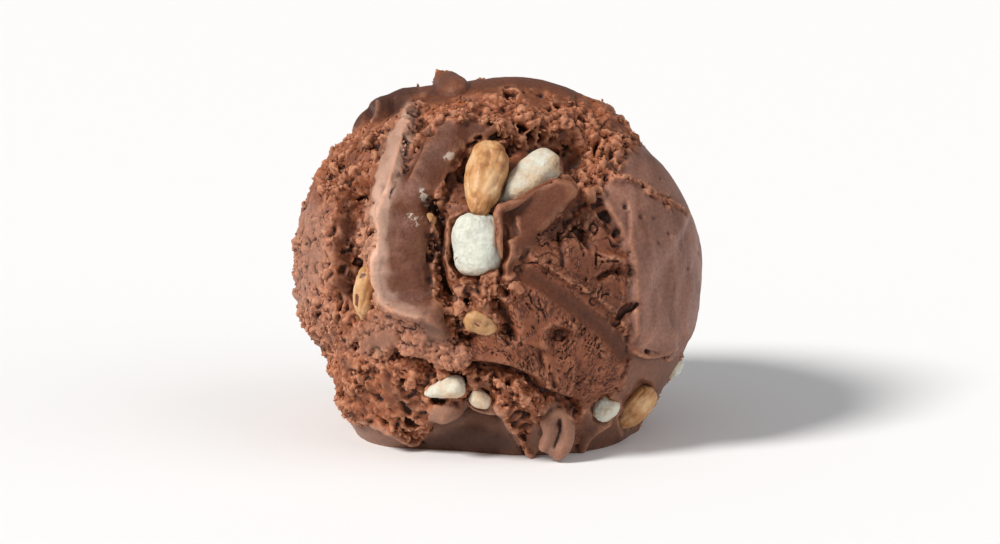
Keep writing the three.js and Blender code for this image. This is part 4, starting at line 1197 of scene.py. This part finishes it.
def chocolateFilmGroup():  # chocolate that creeps over what is held, from the attribute buried
    entries = {"Base": None, "Thin": None, "Thick": None, "Shift": 0.0}
    group, nodes, given, result = newGroup("chocolateFilm", entries, ("Color", "NodeSocketColor"))
    ragged = nodes.span(nodes.noise(nodes.place(), 460, 5, 0.65), 0.3, 0.7, -0.2, 0.2)
    film = nodes.sum(nodes.sum(nodes.value("buried"), ragged), given["Shift"])
    thin = nodes.mix(nodes.span(film, 0.1, 0.55, 0, 0.85), given["Base"], given["Thin"])
    nodes.join(nodes.mix(nodes.span(film, 0.6, 0.78), thin, given["Thick"]), result)
    return group


def useGroup(nodes, group, **values):
    used = nodes.add("ShaderNodeGroup", node_tree=group)
    for name, value in values.items():
        nodes.join(value, used.inputs[name])
    return used.outputs[0]


def setShader(nodes, shader, look, base, roughness, **grain):  # gloss, scattered light and fine grain
    values = {
        "Base Color": base,
        "Roughness": roughness,
        "Normal": useGroup(nodes, fineGrain, **look["grain"], **grain),
        "Specular IOR Level": look["specular"],
        "Subsurface Weight": look["subsurface"],
        "Subsurface Radius": look["scatter"],
        "Subsurface Scale": look["scatterLength"],
    }
    for entry, value in values.items():
        nodes.join(value, shader.inputs[entry])


fineGrain = fineGrainGroup()
chocolateFilm = chocolateFilmGroup()

chocolateLook = {
    "crumb": linear(168, 98, 63),
    "wiped": linear(114, 63, 39),
    "frost": linear(172, 124, 106),
    "fan": linear(150, 86, 57),
    # painted shade in the fan's tears
    "crackShade": linear(76, 36, 20),
    # the colour of painted light and the crest's painted highlight
    "pale": linear(252, 207, 182),
    # painted shade in hollows and pits, which the fine noise also darkens with in random specks
    "pit": linear(44, 17, 9),
    # a painted highlight on the crumbs' tips
    "tipHighlight": linear(222, 158, 122),
    # the colour of painted shade, which the random blotches also use
    "shade": linear(62, 28, 14),
    "smear": linear(226, 212, 196),
    "blotches": (170, 3),  # scale and detail of a noise, and its roughness
    "fine": (1700, 4, 0.65),
    "tears": (1.9, 1, 0.4),
    "tearBreaks": (420, 2),
    "smearBreaks": (900, 4, 0.7),
    "blotchSpan": (0.35, 0.65, 0.22, 0),  # from low and high to a share at each
    "pitSpan": (0.54, 0.8, 0, 0.92),
    "tipSpan": (0.46, 0.1, 0, 0.6),
    "deepSpan": (0.58, 0.95, 0, 0.8),
    "fineSpan": (0.35, 0.7, 0, 0.35),
    "paleSpan": (0.3, 0.6, 0.7, 1),
    "tearSpan": (0.08, 0.03),
    "breakSpan": (0.46, 0.56),
    "tearShare": 0.7,
    "tearHeight": -3.5,
    "grain": {"Scale": 1900.0, "Strength": 0.6},
    "roughness": (0.2, 0.8, 0.37, 0.59),  # over the fine noise
    "specular": 0.3,
    "subsurface": 0.05,
    "scatter": (1.0, 0.45, 0.3),
    "scatterLength": 0.001,
}


def chocolateMaterial():
    look = chocolateLook
    material, nodes, shader = newMaterial("chocolateIceCream")
    place = nodes.place()
    fine = nodes.noise(place, *look["fine"])
    pale, hollow = nodes.value("pale"), nodes.value("hollow")
    tears = nodes.sum(nodes.noise(nodes.value("fanPlace", "Vector"), *look["tears"]), 0.5, "SUBTRACT")
    tears = nodes.span(nodes.sum(tears, 0, "ABSOLUTE"), *look["tearSpan"])
    broken = nodes.span(nodes.noise(place, *look["tearBreaks"]), *look["breakSpan"])
    tear = nodes.sum(nodes.sum(tears, broken, "MULTIPLY"), nodes.value("fan"), "MULTIPLY")
    smeared = nodes.span(nodes.noise(place, *look["smearBreaks"]), 0.4, 0.6)
    layers = [  # each colour over the ones before it, with its share
        ("wiped", nodes.value("wiped")),
        ("fan", nodes.value("fan")),
        ("frost", nodes.value("frost")),
        # painted light and the crest's painted highlight
        ("pale", nodes.sum(pale, nodes.span(fine, *look["paleSpan"]), "MULTIPLY")),
        ("smear", nodes.span(nodes.sum(nodes.value("smear"), smeared, "MULTIPLY"), 0.25, 0.45)),
        ("shade", nodes.span(nodes.noise(place, *look["blotches"]), *look["blotchSpan"])),
        # painted shade from the shaded outlines
        ("shade", nodes.value("shade")),
        # painted shade in the fine and wide hollows, and a painted highlight on the tips
        ("pit", nodes.span(hollow, *look["pitSpan"])),
        ("tipHighlight", nodes.span(hollow, *look["tipSpan"])),
        ("pit", nodes.span(nodes.value("deep"), *look["deepSpan"])),
        # painted shade in the tears of the fan
        ("crackShade", nodes.sum(tear, look["tearShare"], "MULTIPLY")),
    ]
    base = look["crumb"]
    for colour, share in layers:
        base = nodes.mix(share, base, look[colour])
    base = nodes.mix(nodes.span(fine, *look["fineSpan"]), base, look["pit"], "MULTIPLY")
    roughness = nodes.span(fine, *look["roughness"])
    setShader(nodes, shader, look, base, roughness, Height=nodes.sum(tear, look["tearHeight"], "MULTIPLY"))
    return material


kernelLook = {
    "pale": linear(222, 182, 136),
    "roasted": linear(196, 144, 93),
    "brown": linear(148, 90, 50),
    "thinFilm": linear(178, 132, 86),
    "thickFilm": linear(104, 56, 33),
    "patches": (240, 5, 0.62),  # scale, detail and roughness of the noise
    "creaseShadeSpan": (0.55, 0.8, 0, 0.85),
    "filmShift": -0.1,
    "grain": {"Scale": 900.0, "Strength": 0.4, "Depth": 0.0004},
    "roughness": 0.4,
    "specular": 0.4,
    "subsurface": 0.15,
    "scatter": (1.0, 0.6, 0.3),
    "scatterLength": 0.001,
}


def kernelMaterial():
    look = kernelLook
    material, nodes, shader = newMaterial("nutKernel")
    stops = (0.32, look["brown"]), (0.46, look["roasted"]), (0.64, look["pale"])
    base = nodes.ramp(nodes.noise(nodes.place(), *look["patches"]), *stops)
    # painted shade: the kernel turns brown in its hollows and creases
    base = nodes.mix(nodes.span(nodes.value("hollow"), *look["creaseShadeSpan"]), base, look["brown"])
    finishHeld(nodes, shader, look, base)
    return material


marshmallowLook = {
    "shade": linear(196, 199, 184),
    "white": linear(220, 221, 208),
    "thinFilm": linear(206, 172, 134),
    "thickFilm": linear(122, 72, 50),
    "patches": (1000, 5, 0.75),
    "filmShift": 0.0,
    "grain": {"Scale": 1500.0, "Strength": 0.7, "Depth": 0.0005},
    "roughness": 0.65,
    "specular": 0.3,
    "subsurface": 0.3,
    "scatter": (1.0, 0.9, 0.7),
    "scatterLength": 0.0015,
}


def marshmallowMaterial():
    look = marshmallowLook
    material, nodes, shader = newMaterial("marshmallow")
    stops = (0.34, look["shade"]), (0.54, look["white"])
    base = nodes.ramp(nodes.noise(nodes.place(), *look["patches"]), *stops)
    finishHeld(nodes, shader, look, base)
    return material


def finishHeld(nodes, shader, look, base):  # chocolate film and grain on a held piece
    filmed = useGroup(nodes, chocolateFilm, Base=base, Thin=look["thinFilm"], Thick=look["thickFilm"],
                      Shift=look["filmShift"])
    setShader(nodes, shader, look, filmed, look["roughness"])


def finished(made, material, node):  # in metres and smooth, with its material and body, and the node's own part hidden
    made.data.transform(Matrix.Scale(mm, 4))
    made.data.materials.clear()
    made.data.materials.append(material)
    for face in made.data.polygons:
        face.use_smooth = True
    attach(made, "root")
    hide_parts(node)


films = {  # where chocolate or syrup browns a piece, as ovals on the picture
    "marshmallow_behind": [dict(at=[10.2, 42.6], half=[2.8, 3.4], turn=0, much=0.75),
                           dict(at=[4.6, 37.4], half=[6, 2.8], turn=40, much=0.62),
                           dict(at=[5, 40.2], half=[12, 8], turn=42, much=0.3)],
    "marshmallow_by_torn": [dict(at=[-3, 4.6], half=[3, 3], turn=0, much=0.5)],
    "marshmallow_middle": [dict(at=[-5, 25], half=[3, 1.2], turn=0, much=0.35)],
    "marshmallow_torn": [dict(at=[-7.2, 5], half=[2.4, 1.2], turn=0, much=0.6),
                         dict(at=[-7.7, 6.7], half=[6, 5], turn=0, much=0.3)],
    "marshmallow_right": [dict(at=[17.4, 2.7], half=[2.4, 3], turn=0, much=0.2)],
    "peanut_by_crest": [dict(at=[-21.7, 22.4], half=[5, 8], turn=0, much=0.42)],
    "peanut_right": [dict(at=[22.8, 3], half=[4, 6], turn=0, much=0.12)],
    "peanut_low": [dict(at=[-3, 17.1], half=[4, 3], turn=0, much=0.72)],
    "peanut_in_cleft": [dict(at=[-11.9, 31.8], half=[4, 6], turn=0, much=0.55)],
    # the oval along the kernel's right edge is chocolate film and painted shade on the side turned from the
    # key light
    "peanut_top": [dict(at=[-1, 35.4], half=[1.2, 1.2], turn=0, much=0.6),
                   dict(at=[1.4, 39.4], half=[0.9, 4], turn=-6, much=0.42),
                   dict(at=[-3.6, 45.6], half=[1.8, 1], turn=30, much=0.3)],
}


heldLook = {
    "cuts": 3,
    "hollowRounds": 25,
    "hollowSpan": 0.6,  # mm
    "filmReach": 2.5,
    "filmInside": 1.1,  # how far under the ice cream's surface a piece is fully buried
    "filmOutside": 1.9,  # and how far over it the film ends
}


def heldPiece(node, name, around, wrinkle):  # a node's solid, smoothed and wrinkled, with where it is filmed
    look = heldLook
    bm = bmesh.new()
    bm.from_mesh(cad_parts[node].data)
    bmesh.ops.remove_doubles(bm, verts=bm.verts, dist=1e-6)
    bmesh.ops.recalc_face_normals(bm, faces=bm.faces)
    bmesh.ops.scale(bm, vec=Vector((1, 1, 1)) / mm, verts=bm.verts)
    made = objectOf(name, newMesh(name, bm))
    soft = made.modifiers.new("soft", "SUBSURF")
    soft.levels = soft.render_levels = look["cuts"]
    mesh = applied(made)
    points = pointsOf(mesh)
    middle = points.mean(axis=0)
    long = np.linalg.svd(points - middle, full_matrices=False)[2][0]
    movePoints(mesh, points + normalsOf(mesh) * wrinkle(points - middle, long)[:, None])
    points = pointsOf(mesh)
    addValue(mesh, "hollow", hollowness(mesh, edgesOf(mesh), look["hollowRounds"], look["hollowSpan"]))
    buried = np.zeros(len(points))
    for index, point in enumerate(points):
        nearest, normal, _, away = around.find_nearest(Vector(point), look["filmReach"])
        if nearest is not None:
            inside = (Vector(point) - nearest).dot(normal) < 0
            share = away / look["filmInside"] if inside else -away / look["filmOutside"]
            buried[index] = min(max(0.5 + share, 0), 1)
    for film in films.get(node, []):
        buried = np.maximum(buried, film["much"] * inOval(seen(points), film))
    addValue(mesh, "buried", buried)
    return made


def kernelWrinkle(points, long):  # creases that run along the kernel, over soft bumps
    along = points @ long
    squeezed = points - np.outer(along * 0.72, long)
    crease = np.abs(waves(squeezed, 1.7, 3))
    return 0.42 * np.minimum(crease, 0.4) - 0.14 + 0.22 * waves(points, 3.4, 5) + 0.07 * waves(points, 0.8, 4)


def marshmallowWrinkle(points, _):  # soft dents, the same along the piece as across it
    return layered(points, noises["marshmallow"])


print("iceCream")
iceCream = iceCreamMesh()
markSurface(iceCream.data)
grainPiece = objectOf("crumbs", grainMesh(iceCream.data))
print("crumbs", len(grainPiece.data.polygons))

print("kernels and marshmallows")
kernelFinish, marshmallowFinish = kernelMaterial(), marshmallowMaterial()
bm = bmesh.new()
bm.from_mesh(iceCream.data)
around = BVHTree.FromBMesh(bm)
bm.free()
for node in sorted(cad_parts):
    if node.startswith("peanut"):
        piece = heldPiece(node, node.replace("peanut", "kernel"), around, kernelWrinkle)
        finished(piece, kernelFinish, node)
    elif node.startswith("marshmallow"):
        piece = heldPiece(node, node + ".soft", around, marshmallowWrinkle)
        finished(piece, marshmallowFinish, node)
chocolateFinish = chocolateMaterial()
finished(iceCream, chocolateFinish, "ice_cream")
finished(grainPiece, chocolateFinish, "ice_cream")

print("floor, light and camera")
stage = {"floorSize": 6.0, "floorColour": (0.92, 0.925, 0.93), "floorRoughness": 0.8, "worldStrength": 0.3}
bm = bmesh.new()
bmesh.ops.create_grid(bm, x_segments=1, y_segments=1, size=stage["floorSize"] / 2)
floor = objectOf("floor", newMesh("floor", bm))
floorFinish, floorNodes, floorShader = newMaterial("paleFloor")
floorNodes.join(stage["floorColour"], floorShader.inputs["Base Color"])
floorNodes.join(stage["floorRoughness"], floorShader.inputs["Roughness"])
floor.data.materials.append(floorFinish)

world = bpy.data.worlds.new("studio")
world.use_nodes = True
background = world.node_tree.nodes["Background"].inputs
background["Color"].default_value = (1, 1, 1, 1)
background["Strength"].default_value = stage["worldStrength"]
scene.world = world
scene.view_settings.view_transform = "Standard"


def softSun(name, bearing, elevation, softness, strength, colour):
    lamp = bpy.data.lights.new(name, "SUN")
    lamp.angle = math.radians(softness)
    lamp.energy = strength
    lamp.color = colour
    made = objectOf(name, lamp)
    b, e = math.radians(bearing), math.radians(elevation)
    towards = Vector((math.sin(b) * math.cos(e), -math.cos(b) * math.cos(e), math.sin(e)))
    made.rotation_euler = towards.to_track_quat("Z", "Y").to_euler()


suns = {
    "key": dict(bearing=-60, elevation=42, softness=16, strength=3.3, colour=(1, 0.97, 0.94)),
    "fill": dict(bearing=70, elevation=32, softness=60, strength=0.7, colour=(0.95, 0.97, 1)),
}
for name, sun in suns.items():
    softSun(name, **sun)

camera = {
    "away": 0.9,  # m
    "sensor": 36.0,
    "scale": 6.0,  # pixels to a millimetre
    "wide": 1000,  # pixels
    "middle": (500, 272),
    "origin": (499, 423),  # where the foot's middle is in the picture
    "clip": (0.05, 50),
}
data = bpy.data.cameras.new("camera")
data.sensor_width = camera["sensor"]
data.lens = camera["sensor"] * camera["away"] / (camera["wide"] / camera["scale"] * mm)
data.clip_start, data.clip_end = camera["clip"]
view = objectOf("camera", data)
across = (camera["middle"][0] - camera["origin"][0]) / camera["scale"] * mm
up = (camera["origin"][1] - camera["middle"][1]) / camera["scale"] * mm
right, upwards, away = Vector(sightRight), Vector(sightUp), Vector(sightAway)
view.matrix_world = Matrix((right, upwards, -away)).transposed().to_4x4()
view.location = right * across + upwards * up - away * camera["away"]
scene.camera = view
